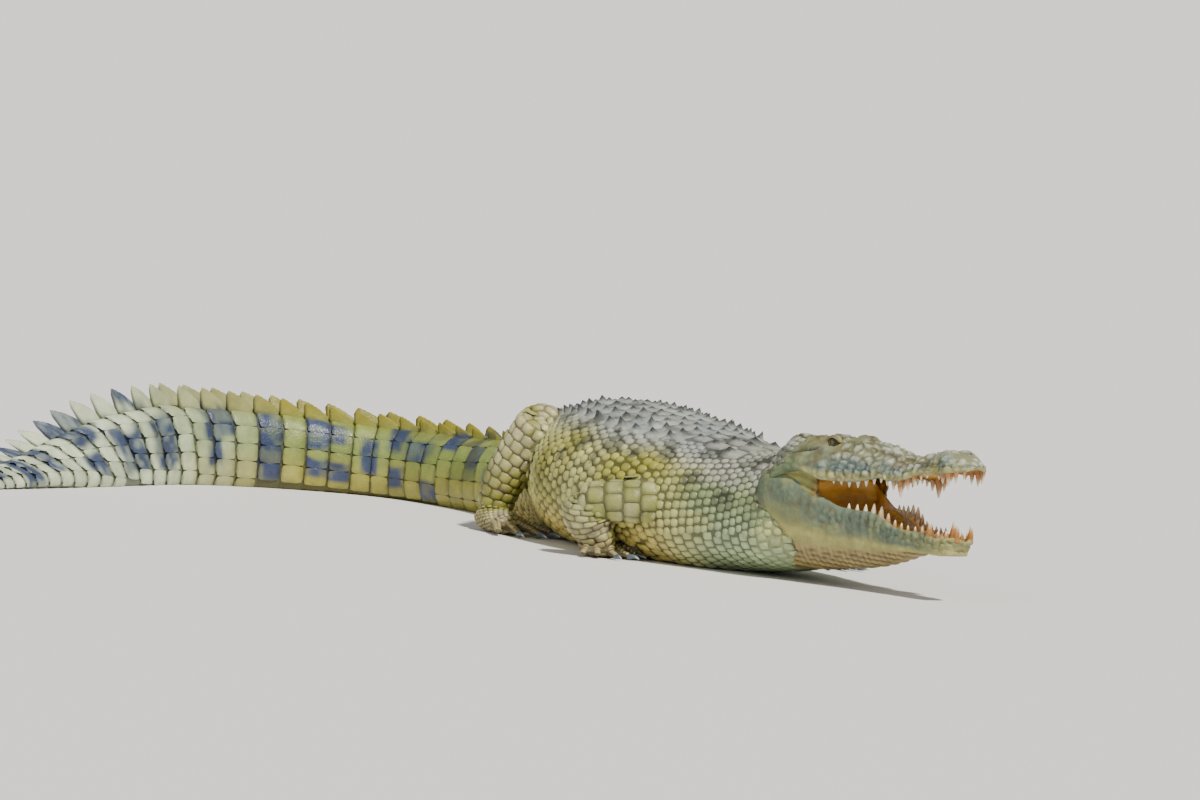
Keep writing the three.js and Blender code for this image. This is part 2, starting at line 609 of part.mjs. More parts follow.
// Legs.
const grownTrunk = bodyLength3d(-20, ringStart + 200, 40, 48, cutGap + 1.2);
Object.entries(legs).forEach(([place, leg]) => {
  const foot = footSolid(leg);
  const grownFoot = footSolid(leg, 2 * cutGap);
  const lower = limbLoft(leg.lower, leg.side);
  const grownLowerLeg = limbLoft(leg.lower, leg.side, jointGap);
  const upper = limbLoft(leg.upper, leg.side);
  keep(`foot_${place}`, onFloor(carve(foot, [grownTrunk])));
  keep(`leg_lower_${place}`, onFloor(carve(lower, [grownTrunk, grownFoot])));
  keep(`leg_upper_${place}`, onFloor(carve(upper, [grownTrunk, grownLowerLeg, grownFoot])));
  for (let n = 0; n < leg.toes.clawed; n += 1) {
    keep(`claw_${place}_${n + 1}`, onFloor(carve(claw(leg, n), [grownFoot])), hornMaterial);
  }
});

const crocodile = new THREE.Group();
pieces.forEach((piece) => crocodile.add(piece));

// The origin goes under the middle of the whole animal, to the nearest millimetre.
const middle = new THREE.Box3().setFromObject(crocodile).getCenter(new THREE.Vector3()).round();
pieces.forEach((piece) => piece.position.set(-middle.x, -middle.y, 0));

export default crocodile;
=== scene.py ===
import math

import bpy
import numpy as np
from mathutils import Matrix, Vector
from mathutils.bvhtree import BVHTree

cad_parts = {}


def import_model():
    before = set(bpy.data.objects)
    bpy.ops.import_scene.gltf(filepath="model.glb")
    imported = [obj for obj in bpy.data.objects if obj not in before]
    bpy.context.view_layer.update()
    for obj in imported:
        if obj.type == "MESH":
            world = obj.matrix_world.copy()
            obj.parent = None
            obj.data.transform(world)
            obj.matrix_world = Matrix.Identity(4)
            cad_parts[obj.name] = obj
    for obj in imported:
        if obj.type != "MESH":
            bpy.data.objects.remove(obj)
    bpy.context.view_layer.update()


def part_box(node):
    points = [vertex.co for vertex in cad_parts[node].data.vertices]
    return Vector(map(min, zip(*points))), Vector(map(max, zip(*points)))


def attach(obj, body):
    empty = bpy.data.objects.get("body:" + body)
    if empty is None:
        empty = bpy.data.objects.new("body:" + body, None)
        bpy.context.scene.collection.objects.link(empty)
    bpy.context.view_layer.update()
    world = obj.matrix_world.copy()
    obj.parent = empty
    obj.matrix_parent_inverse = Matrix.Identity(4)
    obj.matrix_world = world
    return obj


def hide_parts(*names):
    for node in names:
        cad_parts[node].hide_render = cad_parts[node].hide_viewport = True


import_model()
random = np.random.default_rng(11)

# A large adult Nile crocodile at life size. The tables are in millimetres, from the back of the skull,
# and world() turns them to metres in the frame. s runs back along the spine, right is the animal's
# right, and up is the height above the floor.
build = {
    "skullLength": 540,
    "headUnits": 560,  # the head's tables are written for a skull of this length
    "bodyLength": 3400,
    "upperPitch": 9.5,
    "lowerPitch": -6.2,
    "jawBack": 15,
    "jawHeight": 212,
    "jawSetBack": 25,
    "widestLevel": 0.42,
    "skinDepth": 1.5,  # how far the skin lies inside the flesh, under its scales
}
headings = [[0, 48], [250, 51], [500, 59], [750, 71], [950, 74], [1150, 66], [1400, 56], [1700, 43],
            [2000, -3], [2300, -33], [2600, -62], [2900, -62], [3400, -59]]
halfWidths = [[-60, 116], [0, 158], [120, 182], [280, 232], [480, 270], [660, 266], [820, 230], [970, 190],
              [1100, 166], [1300, 142], [1500, 120], [1800, 96], [2100, 80], [2400, 64], [2700, 47],
              [3000, 30], [3400, 6]]
heights = [[-60, 236], [0, 278], [150, 282], [320, 300], [540, 326], [760, 336], [900, 322], [1060, 272],
           [1230, 218], [1400, 188], [1600, 174], [1900, 172], [2200, 184], [2450, 188], [2650, 166],
           [2850, 128], [3100, 84], [3400, 14]]
squareness = [[0, 2.3], [900, 2.25], [1500, 2.7], [2300, 3.0], [3400, 2.4]]
sinks = [[-60, -52], [0, -24], [140, -4], [260, 20], [1400, 20], [2600, 16], [3400, 4]]
lean = {"from": 2510, "to": 3115, "angle": 64}
rake = {"from": 2160, "to": 2640, "slope": 0.55}


# curves and small helpers
def smooth(x):
    x = np.clip(x, 0, 1)
    return x * x * (3 - 2 * x)


def between(x, low, high):  # 0 below low, 1 above high, smooth in between
    return smooth((x - low) / (high - low))


def bell(x, middle, width):
    return np.exp(-(((x - middle) / width) ** 2))


def track(pairs, place):  # a smooth curve through the pairs that never overshoots them
    x, y = np.array(pairs, float).T
    slope = np.diff(y) / np.diff(x)
    a, b = slope[:-1], slope[1:]
    inner = np.where(a * b <= 0, 0, 2 * a * b / np.where(a + b == 0, 1, a + b))
    tangent = np.concatenate([slope[:1], inner, slope[-1:]])
    place = np.clip(place, x[0], x[-1])
    i = np.clip(np.searchsorted(x, place, side="right") - 1, 0, len(x) - 2)
    span = x[i + 1] - x[i]
    t = (place - x[i]) / span
    p, q, m, n = y[i], y[i + 1], tangent[i] * span, tangent[i + 1] * span
    return p + t * (m + t * (3 * (q - p) - 2 * m - n + t * (2 * (p - q) + m + n)))


def stack(x, y, z):
    return np.stack(np.broadcast_arrays(x, y, z), axis=-1)


def unit(v):
    return v / np.maximum(np.linalg.norm(v, axis=-1, keepdims=True), 1e-9)


def mix(a, b, share):
    share = np.asarray(share)[..., None]
    return a * (1 - share) + b * share


def linear(text):  # an sRGB hex colour as linear red, green and blue
    c = np.array([int(text[i:i + 2], 16) for i in (1, 3, 5)]) / 255
    return np.where(c <= 0.04045, c / 12.92, ((c + 0.055) / 1.055) ** 2.4)


def hashed(cells, seed):  # a number from 0 to 1 for each whole-number cell
    x = cells[..., 0] * 127.1 + cells[..., 1] * 311.7 + cells[..., 2] * 74.7 + seed * 53.3
    x = np.sin(x) * 43758.5453
    return x - np.floor(x)


def cloud(points, size, seed=1):  # smooth noise from 0 to 1 with patches of about that size
    p = points / size
    low = np.floor(p)
    f = smooth(p - low)
    total = 0
    for dx in (0, 1):
        for dy in (0, 1):
            for dz in (0, 1):
                weight = np.abs(1 - dx - f[..., 0]) * np.abs(1 - dy - f[..., 1]) * np.abs(1 - dz - f[..., 2])
                total = total + weight * hashed(low + np.array([dx, dy, dz]), seed)
    return total


def cobbles(points, size, seed=1):  # 0 in the grooves and 1 on the middle of rounded lumps of about that size
    p = points / size
    low = np.floor(p)
    near = np.full(p.shape[:-1], 9.0)
    second = near.copy()
    for dx in (-1, 0, 1):
        for dy in (-1, 0, 1):
            for dz in (-1, 0, 1):
                cell = low + np.array([dx, dy, dz])
                spot = cell + 0.15 + 0.7 * np.stack([hashed(cell, seed + k) for k in range(3)], -1)
                d = np.linalg.norm(p - spot, axis=-1)
                second = np.where(d < near, near, np.minimum(second, d))
                near = np.minimum(near, d)
    return smooth((second - near) / 0.45)


# the body's surface
def headingAt(s):
    return np.radians(track(headings, s))


spineStep = 5.0
spineStops = np.arange(0, build["bodyLength"] + 205, spineStep)
spineTurns = headingAt(spineStops[:-1] + spineStep / 2)
spineX = np.concatenate([[0], np.cumsum(-spineStep * np.cos(spineTurns))])
spineY = np.concatenate([[0], np.cumsum(spineStep * np.sin(spineTurns))])


def bodyPoint(s, right, up):
    turn, before = headingAt(s), np.minimum(s, 0)
    x = np.interp(s, spineStops, spineX) - math.cos(headingAt(0)) * before
    y = np.interp(s, spineStops, spineY) + math.sin(headingAt(0)) * before
    return stack(x - np.sin(turn) * right, y - np.cos(turn) * right, up)


def bodyPlace(points):  # the nearest s on the spine to each point, and how far it is to the right
    stops = np.concatenate([np.arange(-700, 0, 10.0), spineStops[::2]])
    spine = bodyPoint(stops, 0 * stops, 0)[:, :2]
    s = np.empty(len(points))
    for part in np.array_split(np.arange(len(points)), max(1, len(points) // 20000)):
        gap = points[part, None, :2] - spine[None]
        s[part] = stops[np.argmin((gap ** 2).sum(-1), axis=1)]
    turn = headingAt(s)
    gap = points[:, :2] - bodyPoint(s, 0 * s, 0)[:, :2]
    s = s - gap[:, 0] * np.cos(turn) + gap[:, 1] * np.sin(turn)
    return s, -gap[:, 0] * np.sin(turn) - gap[:, 1] * np.cos(turn)


def power(value, exponent):
    return np.sign(value) * np.abs(value) ** exponent


def leanPoint(s, right, up):  # turns a section point over by the tail's lean
    angle = np.radians(lean["angle"]) * between(s, lean["from"], lean["to"])
    pivot = track(halfWidths, s) * 0.9
    rise = up - pivot
    return right * np.cos(angle) - rise * np.sin(angle), pivot + right * np.sin(angle) + rise * np.cos(angle)


def rakedPlace(s, up):
    return s + rake["slope"] * between(s, rake["from"], rake["to"]) * (up - 0.25 * track(heights, s))


def bodySurface(s, turn, grow=0.0):  # a superellipse section, widest low down; turn 0 is the top
    width, height = track(halfWidths, s) + grow, track(heights, s) + grow
    middle = height * build["widestLevel"]
    exponent = 2 / track(squareness, s)
    reach = np.where(np.cos(turn) > 0, height - middle, middle + track(sinks, s))
    right = width * power(np.sin(turn), exponent)
    up = middle + reach * power(np.cos(turn), exponent)
    right, raised = leanPoint(s, right, up)
    return bodyPoint(rakedPlace(s, up), right, raised)


# The turn for each even share of the way round from the top to the belly, so that scales keep their size.
girthStep, shareCount = 20.0, 120
girthStops = np.arange(-80, build["bodyLength"] + 1, girthStep)
turnStops = np.linspace(0, math.pi, 241)
girthRings = bodySurface(girthStops[:, None], turnStops[None])
girthArcs = np.concatenate([np.zeros((len(girthStops), 1)),
                            np.cumsum(np.linalg.norm(np.diff(girthRings, axis=1), axis=-1), axis=1)], axis=1)
halfGirths = girthArcs[:, -1]
shareStops = np.linspace(0, 1, shareCount + 1)
turnTable = np.array([np.interp(shareStops * arc[-1], arc, turnStops) for arc in girthArcs])


def halfGirth(s):
    return np.interp(s, girthStops, halfGirths)


def sideSurface(s, share):  # share is 0 on the back's middle line, 1 under the belly, negative on the left
    i = np.clip((s - girthStops[0]) / girthStep, 0, len(girthStops) - 1.001)
    j = np.clip(np.abs(share) * shareCount, 0, shareCount - 0.001)
    i0, j0 = i.astype(int), j.astype(int)
    fi, fj = i - i0, j - j0
    turn = ((turnTable[i0, j0] * (1 - fj) + turnTable[i0, j0 + 1] * fj) * (1 - fi)
            + (turnTable[i0 + 1, j0] * (1 - fj) + turnTable[i0 + 1, j0 + 1] * fj) * fi)
    return bodySurface(s, np.sign(share) * turn)


# the head's surfaces: t back from the snout tip, y left, z up from the lip line
headScale = build["skullLength"] / build["headUnits"]
snoutWidths = [[0, 4], [8, 30], [24, 46], [50, 55], [75, 52], [97, 45], [125, 52], [160, 64], [195, 70],
               [235, 73], [280, 81], [320, 93], [360, 108], [420, 128], [480, 146], [530, 157], [575, 138],
               [600, 120]]
lipHeights = [[0, 10], [12, 5], [40, 5], [70, 3], [97, 5], [130, 9], [160, 2], [195, -5], [225, -4], [260, 5],
              [290, 3], [330, 1], [370, 5], [410, 9], [440, 22], [470, 33], [500, 31], [540, 18], [600, -6]]
topHeights = [[0, 18], [10, 27], [25, 39], [40, 48], [60, 56], [85, 58], [110, 54], [140, 49], [165, 46],
              [200, 48], [240, 56], [285, 70], [325, 85], [355, 94], [390, 101], [430, 106], [480, 114],
              [525, 118], [548, 115], [562, 106], [600, 104]]
tableWidths = [[0, 3], [10, 18], [52, 30], [100, 22], [160, 28], [260, 40], [340, 46], [400, 50], [440, 58],
               [520, 72], [600, 78]]
jawWidths = [[0, 4], [8, 24], [26, 38], [60, 44], [100, 42], [150, 52], [200, 60], [260, 73], [320, 92],
             [380, 112], [440, 132], [500, 150], [540, 156], [582, 134], [640, 110]]
edgeHeights = [[0, -12], [8, -6], [26, -9], [60, -17], [100, -15], [150, -19], [180, -20], [205, -13],
               [232, -3], [262, 0], [300, -4], [340, -5], [380, 4], [410, 14], [440, 26], [480, 40],
               [520, 42], [560, 36], [640, 20]]
borderHeights = [[0, -30], [10, -44], [26, -51], [60, -56], [100, -60], [150, -65], [200, -70], [260, -76],
                 [320, -82], [380, -87], [440, -90], [500, -84], [560, -70], [640, -56]]
throatHeights = [[0, -32], [12, -48], [60, -58], [110, -62], [150, -80], [200, -104], [260, -128],
                 [320, -146], [380, -160], [440, -176], [520, -190], [640, -200]]
floorDepths = [[0, 4], [60, 12], [140, 16], [300, 32], [420, 66], [500, 84], [560, 70], [640, 40]]
upperTeeth = [[12, 22, 5], [28, 30, 6.5], [48, 34, 8], [68, 26, 6.5], [84, 16, 5], [122, 16, 5],
              [138, 20, 5.5], [156, 26, 6.5], [174, 32, 7.5], [196, 44, 9.5], [218, 26, 7], [238, 18, 5.5],
              [256, 16, 5], [276, 18, 5.5], [298, 20, 6], [320, 20, 6], [342, 18, 5.5], [362, 14, 5],
              [382, 12, 4.5]]
lowerTeeth = [[8, 36, 7.5], [30, 18, 5.5], [52, 20, 6], [84, 36, 8.5], [108, 16, 5], [128, 14, 5],
              [148, 14, 5], [168, 16, 5], [188, 18, 5.5], [210, 22, 6.5], [232, 26, 7.5], [254, 24, 7],
              [276, 18, 6], [298, 16, 5.5], [320, 14, 5]]
eye = {"t": 421, "y": 56, "z": 91, "radius": 18}


def headPoint(t, y, z, pitch):
    forward = build["skullLength"] - t * headScale + build["jawBack"]
    across, rise = y * headScale, z * headScale
    a, yaw = math.radians(pitch), math.radians(headings[0][1])
    reach = forward * math.cos(a) - rise * math.sin(a) - build["jawBack"]
    up = build["jawHeight"] + forward * math.sin(a) + rise * math.cos(a)
    return stack(reach * math.cos(yaw) + across * math.sin(yaw),
                 across * math.cos(yaw) - reach * math.sin(yaw), up)


def upperPoint(t, y, z):
    return headPoint(t, y, z, build["upperPitch"])


def lowerPoint(t, y, z):
    return headPoint(t + build["jawSetBack"], y, z, build["lowerPitch"])


eyeBox = np.array([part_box("eye_right")[0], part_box("eye_right")[1]])
shift = eyeBox.mean(0) * 1000 - upperPoint(eye["t"], -eye["y"], eye["z"])


def world(points):
    return (points + shift) / 1000


def rounded(corners, w):  # a smooth curve through corners (..., count, 2) at places w from 0 to count - 1
    count = corners.shape[-2]
    i = np.clip(np.floor(w).astype(int), 0, count - 2)
    f = (w - i)[:, None]
    p0, p1 = corners[..., np.maximum(i - 1, 0), :], corners[..., i, :]
    p2, p3 = corners[..., i + 1, :], corners[..., np.minimum(i + 2, count - 1), :]
    return p1 + 0.5 * f * (p2 - p0 + f * (2 * p0 - 5 * p1 + 4 * p2 - p3 + f * (3 * (p1 - p2) + p3 - p0)))


def upperCorners(t):  # palate middle, palate, lip, cheek, table edge, table middle
    wide, lip, table = track(snoutWidths, t), track(lipHeights, t), track(tableWidths, t)
    top = track(topHeights, t)
    rise, ridge = top - lip, 10 * bell(t, 420, 36)
    rear = 3 * bell(t, 524, 26)
    rows = [[0 * t, lip + 0.2 * rise], [0.62 * wide, lip + 0.16 * rise], [0.88 * wide, lip - 4],
            [wide, lip + 1], [wide, lip + 0.2 * rise], [0.95 * wide, lip + 0.38 * rise],
            [0.5 * wide + 0.5 * table, lip + 0.7 * rise], [table + 5, lip + 0.93 * rise],
            [table - 4, top + ridge + rear], [table * 0.5, top - 2], [0 * t, top - 1]]
    return np.array(rows).transpose(2, 0, 1)


def lowerCorners(t):  # mouth floor middle, gum, edge, side, border, throat middle
    wide, edge, border = track(jawWidths, t), track(edgeHeights, t), track(borderHeights, t)
    throat = np.minimum(track(throatHeights, t), border - 1)
    floor = edge - track(floorDepths, t)
    bulge = 1 + 0.05 * between(t, 300, 500)
    rows = [[0 * t, floor], [0.5 * wide, floor - 1], [0.74 * wide, 0.5 * (floor + edge)],
            [0.83 * wide, edge - 3], [0.93 * wide, edge + 1], [wide * bulge, 0.75 * edge + 0.25 * border],
            [wide * bulge, 0.35 * edge + 0.65 * border], [0.93 * wide, border],
            [0.72 * wide, 0.4 * border + 0.6 * throat], [0.4 * wide, 0.04 * border + 0.96 * throat],
            [0 * t, throat]]
    return np.array(rows).transpose(2, 0, 1)


# meshes and materials
def newObject(name, points, faces, values=None):
    # points in millimetres; faces is a list of whole-number arrays with 3 or 4 columns
    mesh = bpy.data.meshes.new(name)
    mesh.vertices.add(len(points))
    mesh.vertices.foreach_set("co", world(points).astype(np.float32).ravel())
    loops = np.concatenate([f.ravel() for f in faces]).astype(np.int32)
    corners = np.concatenate([np.full(len(f), f.shape[1]) for f in faces])
    starts = np.concatenate([[0], np.cumsum(corners)[:-1]])
    mesh.loops.add(len(loops))
    mesh.loops.foreach_set("vertex_index", loops)
    mesh.polygons.add(len(starts))
    mesh.polygons.foreach_set("loop_start", starts.astype(np.int32))
    mesh.polygons.foreach_set("use_smooth", np.ones(len(starts), bool))
    mesh.update(calc_edges=True)
    if values is not None and "tint" in values:
        setTint(mesh, values["tint"])
    if values is not None and "uv" in values:
        layer = mesh.uv_layers.new(name="OFBake")
        layer.data.foreach_set("uv", values["uv"][loops].astype(np.float32).ravel())
    obj = bpy.data.objects.new(name, mesh)
    bpy.context.scene.collection.objects.link(obj)
    return obj


def setTint(mesh, colours):
    layer = mesh.color_attributes.new("tint", "FLOAT_COLOR", "POINT")
    layer.data.foreach_set("color", np.c_[colours, np.ones(len(colours))].astype(np.float32).ravel())


def gridFaces(rows, columns, closed=False):  # quads of a grid; closed joins its last column to its first
    across = columns if closed else columns - 1
    r, c = np.meshgrid(np.arange(rows - 1), np.arange(across), indexing="ij")
    n = (c + 1) % columns
    quad = np.stack([r * columns + c, r * columns + n, (r + 1) * columns + n, (r + 1) * columns + c], -1)
    return quad.reshape(-1, 4)


def tubeMesh(rings):  # a closed tube from rings (rows, columns, 3), its two ends closed to a middle point
    rows, columns = rings.shape[:2]
    points = np.concatenate([rings.reshape(-1, 3), rings[:1].mean(1), rings[-1:].mean(1)])
    quads = gridFaces(rows, columns, closed=True)
    c = np.arange(columns)
    n = (c + 1) % columns
    tip, lastRow = np.full(columns, rows * columns), (rows - 1) * columns
    ends = np.concatenate([np.stack([tip, n, c], -1), np.stack([tip + 1, lastRow + c, lastRow + n], -1)])
    return outwards(points, [quads, ends])


def tubeTint(colours):  # a tube's colours in the order of its points: the rings, then the two ends
    return np.concatenate([colours.reshape(-1, 3), colours[:1, 0], colours[-1:, 0]])


def outwards(points, faces):  # turns every face over if the closed mesh has a negative volume
    volume = 0
    for f in faces:
        for k in range(1, f.shape[1] - 1):
            a, b, c = (points[f[:, n]] - points[0] for n in (0, k, k + 1))
            volume = volume + (a * np.cross(b, c)).sum()
    return points, ([f[:, ::-1] for f in faces] if volume < 0 else faces)


def joined(parts):  # several (points, faces) as one
    points, threes, fours, start = [], [], [], 0
    for p, faces in parts:
        points.append(p)
        for f in faces:
            (threes if f.shape[1] == 3 else fours).append(f + start)
        start += len(p)
    faces = [np.concatenate(group) for group in (threes, fours) if group]
    return np.concatenate(points), faces


def newMaterial(name):
    material = bpy.data.materials.new(name)
    material.use_nodes = True
    material.node_tree.nodes.clear()
    return material, material.node_tree


def addNode(tree, kind, settings=None, values=None, links=None):
    node = tree.nodes.new(kind)
    for key, value in (settings or {}).items():
        setattr(node, key, value)
    for key, value in (values or {}).items():
        node.inputs[key].default_value = value
    for key, source in (links or {}).items():
        tree.links.new(source, node.inputs[key])
    return node


def finishMaterial(tree, colour, height, look, values):
    # colour and height are node outputs; look gives the bump's strength and depth in metres
    bump = addNode(tree, "ShaderNodeBump", values={"Strength": look["strength"], "Distance": look["depth"]},
                   links={"Height": height})
    shader = addNode(tree, "ShaderNodeBsdfPrincipled", values=values,
                     links={"Base Color": colour, "Normal": bump.outputs["Normal"]})
    addNode(tree, "ShaderNodeOutputMaterial", links={"Surface": shader.outputs["BSDF"]})


def hideMaterial(name, look):
    # Dry crocodile hide: keratin scales, each a little polished on its crown and dusty in its grooves.
    # The tint attribute carries the markings; noise and a fine crackle give the keratin its grain.
    material, tree = newMaterial(name)
    place = addNode(tree, "ShaderNodeTexCoord").outputs["Object"]
    tint = addNode(tree, "ShaderNodeAttribute", {"attribute_name": "tint"}).outputs["Color"]
    dust = addNode(tree, "ShaderNodeTexNoise", values={"Scale": 1000 / look["dustSize"], "Detail": 5.0,
                                                        "Roughness": 0.65}, links={"Vector": place})
    shade = addNode(tree, "ShaderNodeMapRange",
                    values={"From Min": 0.3, "From Max": 0.7,
                            "To Min": look["dark"], "To Max": look["light"]},
                    links={"Value": dust.outputs["Fac"]})
    colour = addNode(tree, "ShaderNodeVectorMath", {"operation": "SCALE"},
                     links={0: tint, "Scale": shade.outputs["Result"]})
    grain = addNode(tree, "ShaderNodeTexVoronoi", {"feature": "DISTANCE_TO_EDGE"},
                    values={"Scale": 1000 / look["grainSize"]}, links={"Vector": place})
    edge = addNode(tree, "ShaderNodeMapRange", values={"From Max": 0.12},
                   links={"Value": grain.outputs["Distance"]})
    fine = addNode(tree, "ShaderNodeTexNoise", values={"Scale": 1000 / look["fineSize"], "Detail": 3.0},
                   links={"Vector": place})
    height = addNode(tree, "ShaderNodeMath", {"operation": "MULTIPLY_ADD"}, values={1: look["fineShare"]},
                     links={0: fine.outputs["Fac"], 2: edge.outputs["Result"]})
    rough = addNode(tree, "ShaderNodeMapRange",
                    values={"To Min": look["rough"] - 0.12, "To Max": look["rough"] + 0.12},
                    links={"Value": fine.outputs["Fac"]})
    finishMaterial(tree, colour.outputs["Vector"], height.outputs["Value"], look,
                   {"Specular IOR Level": look["shine"]})
    shader = next(n for n in tree.nodes if n.type == "BSDF_PRINCIPLED")
    tree.links.new(rough.outputs["Result"], shader.inputs["Roughness"])
    return material


hideLook = {"dustSize": 38, "dark": 0.78, "light": 1.16, "grainSize": 6.5, "fineSize": 2.2, "fineShare": 0.7,
            "rough": 0.5, "shine": 0.45, "strength": 0.36, "depth": 0.001}
scaleLook = {"dustSize": 45, "dark": 0.78, "light": 1.2, "grainSize": 7.0, "fineSize": 1.8, "fineShare": 0.8,
             "rough": 0.38, "shine": 0.5, "strength": 0.4, "depth": 0.0008}
hide = hideMaterial("dry_hide", hideLook)
keratin = hideMaterial("keratin_scales", scaleLook)

# the animal's markings, shared by the skin and its scales
tones = {
    "back": "#9fa198", "backBlue": "#868e8c", "flank": "#9a9638", "flankPale": "#bdba72",
    "belly": "#c0af5c", "neck": "#7d8a5c", "nape": "#9c9c8c", "throat": "#a3b48a", "tailTop": "#8c8424",
    "tailSide": "#7d8a44", "tailLow": "#928c38", "tailPale": "#c9d6b6", "blotch": "#27365c",
    "speckle": "#46493a", "keel": "#25292a", "rearKeel": "#a08c2c", "leg": "#8f8c38",
    "legPale": "#c6c08c", "legBrown": "#5e4444", "foot": "#96895a", "headTop": "#7e8468",
    # crown is a pale painted highlight for the tops of the snout's lumps
    "snoutTop": "#9a9f88", "snoutSide": "#6c8078", "crown": "#cccfb8", "table": "#655c34",
    "lip": "#b4ab64", "paintedGumShadow": "#6b4a24", "jawThroat": "#a3905c", "brow": "#716d42",
    "cheek": "#5f6d52", "fold": "#a59a34", "jawSide": "#62705c", "jawEdge": "#98985c",
    "jawTip": "#a8a468", "mouth": "#d6a544", "mouthDeep": "#b8892c", "paintedLitFarMouth": "#f2dcb8",
    "notch": "#a79c2c", "patch": "#5f4a2a", "groove": "#241f14",
}
paint = {name: linear(text) for name, text in tones.items()}
ringLengths = [[0, 55], [4, 65], [10, 69], [18, 67], [26, 56], [32, 38], [38, 20]]
tail = {"start": 1280, "rings": 38, "paired": 18, "thick": 9, "tip": 12}
ringEdges = tail["start"] + np.concatenate([[0], np.cumsum(track(ringLengths, np.arange(tail["rings"])))])
ringEdges = tail["start"] + (ringEdges - tail["start"]) * (
    (build["bodyLength"] - tail["tip"] - tail["start"]) / (ringEdges[-1] - tail["start"]))

# Dark blotches on the tail: ring number, height as a share of the tail's, half lengths in the same terms.
blotches = [[17.0, 0.62, 0.36, 0.3], [16.4, 0.85, 0.45, 0.14], [14.55, 0.55, 0.5, 0.3],
            [12.5, 0.78, 0.42, 0.14], [11.75, 0.8, 0.35, 0.1], [12.45, 0.33, 0.33, 0.1],
            [11.6, 0.3, 0.4, 0.1], [10.05, 0.55, 0.42, 0.18], [8.9, 0.82, 0.45, 0.12],
            [8.6, 0.3, 0.3, 0.11], [7.4, 0.72, 0.75, 0.12], [5.55, 0.9, 0.5, 0.12], [6.5, 0.22, 0.35, 0.12],
            [20.3, 1.25, 0.7, 0.16], [23.3, 1.15, 0.5, 0.16], [24.2, 0.95, 0.8, 0.16],
            [19.8, 0.6, 0.6, 0.28], [21.9, 0.55, 0.75, 0.25], [24.7, 0.4, 0.6, 0.15], [27.5, 0.8, 0.6, 0.3],
            [30.0, 0.5, 0.6, 0.3], [32.5, 0.8, 0.6, 0.3], [3.4, 0.7, 0.4, 0.14], [2.0, 0.45, 0.35, 0.12]]


def ringNumber(s):
    return np.interp(s, ringEdges, np.arange(tail["rings"] + 1))


def bodyColour(points, s):
    up = points[:, 2]
    height = track(heights, s)
    level = up / np.maximum(height, 20)
    patch = cloud(points, 90, 3)
    fine = cloud(points, 26, 5)
    # trunk: grey over the back, yellow-green on the flank, cream below
    side = mix(paint["flank"], paint["flankPale"], smooth(patch * 1.6 - 0.3))
    side = mix(side, paint["belly"], 1 - between(level, 0.12, 0.42))
    trunk = mix(side, mix(paint["back"], paint["backBlue"], smooth(fine * 1.8 - 0.6)),
                between(level + 0.1 * (patch - 0.5), 0.74, 0.92))
    rearKeel = between(s, 1000, 1180) * between(level, 0.8, 0.95)
    trunk = mix(trunk, paint["rearKeel"], 0.55 * rearKeel)
    # neck: grey-green with a cream throat
    neck = mix(paint["throat"], paint["neck"], between(level + 0.12 * (patch - 0.5), 0.22, 0.62))
    neck = mix(neck, paint["flankPale"], 0.6 * between(patch, 0.45, 0.7) * bell(level, 0.55, 0.25))
    neck = mix(neck, paint["nape"], between(level + 0.2 * (fine - 0.5), 0.62, 0.86))
    colour = mix(neck, trunk, between(s + 60 * (patch - 0.5), 130, 320))
    # tail: golden crest, olive sides, paler towards the tip
    rear = mix(paint["tailLow"], paint["tailSide"], between(level + 0.2 * (fine - 0.5), 0.25, 0.6))
    rear = mix(rear, paint["tailTop"], between(level, 0.86, 1.08))
    rear = mix(rear, paint["tailPale"], between(s + 160 * (patch - 0.5), 2050, 2700) * 0.85)
    colour = mix(colour, rear, between(s, 1180, 1380))
    ring = ringNumber(s)
    dark = np.zeros(len(points))
    for place, share, long, high in blotches:
        reach = np.maximum(np.abs(ring - place) / (1.1 * long), np.abs(level - share) / (1.2 * high))
        dark = np.maximum(dark, 1 - between(reach + 0.5 * (fine - 0.5), 0.8, 1.2))
    mottle = 0.7 + 0.3 * between(cloud(points, 14, 17), 0.3, 0.6)
    colour = mix(colour, paint["blotch"], 0.95 * dark * mottle * (s > tail["start"] - 30))
    speckle = between(cloud(points, 42, 9), 0.66, 0.76) * between(level, 0.35, 0.65)
    return mix(colour, paint["speckle"], 0.7 * speckle * (1 - between(s, 1500, 1900)))


def legColour(points, s):
    up = points[:, 2]
    patch, fine = cloud(points, 60, 13), cloud(points, 20, 15)
    colour = mix(paint["leg"], paint["legPale"], smooth(patch * 1.8 - 0.5))
    colour = mix(colour, paint["neck"], 0.35 * (s < 700) * between(up, 70, 120))
    colour = mix(colour, paint["legBrown"], 0.6 * between(fine * 0.6 + patch * 0.4, 0.56, 0.72))
    ankle = between(s + 40 * (patch - 0.5), 905, 945) * (s < 1010) * between(up, 50, 90)
    colour = mix(colour, paint["legBrown"], 0.6 * ankle)
    # Painted sheen: the legs' upper parts are painted paler in patches, as if lit from above.
    paintedSheen = between(up, 90, 230) * between(fine, 0.45, 0.6)
    colour = mix(colour, paint["legPale"], 0.55 * paintedSheen)
    return mix(paint["foot"], colour, between(up + 20 * (patch - 0.5), 24, 60))


def grooved(colour, edge, shade):  # darkens towards a scale's edge and gives each scale its own shade
    return mix(colour * shade[:, None], paint["groove"], 0.8 * edge)


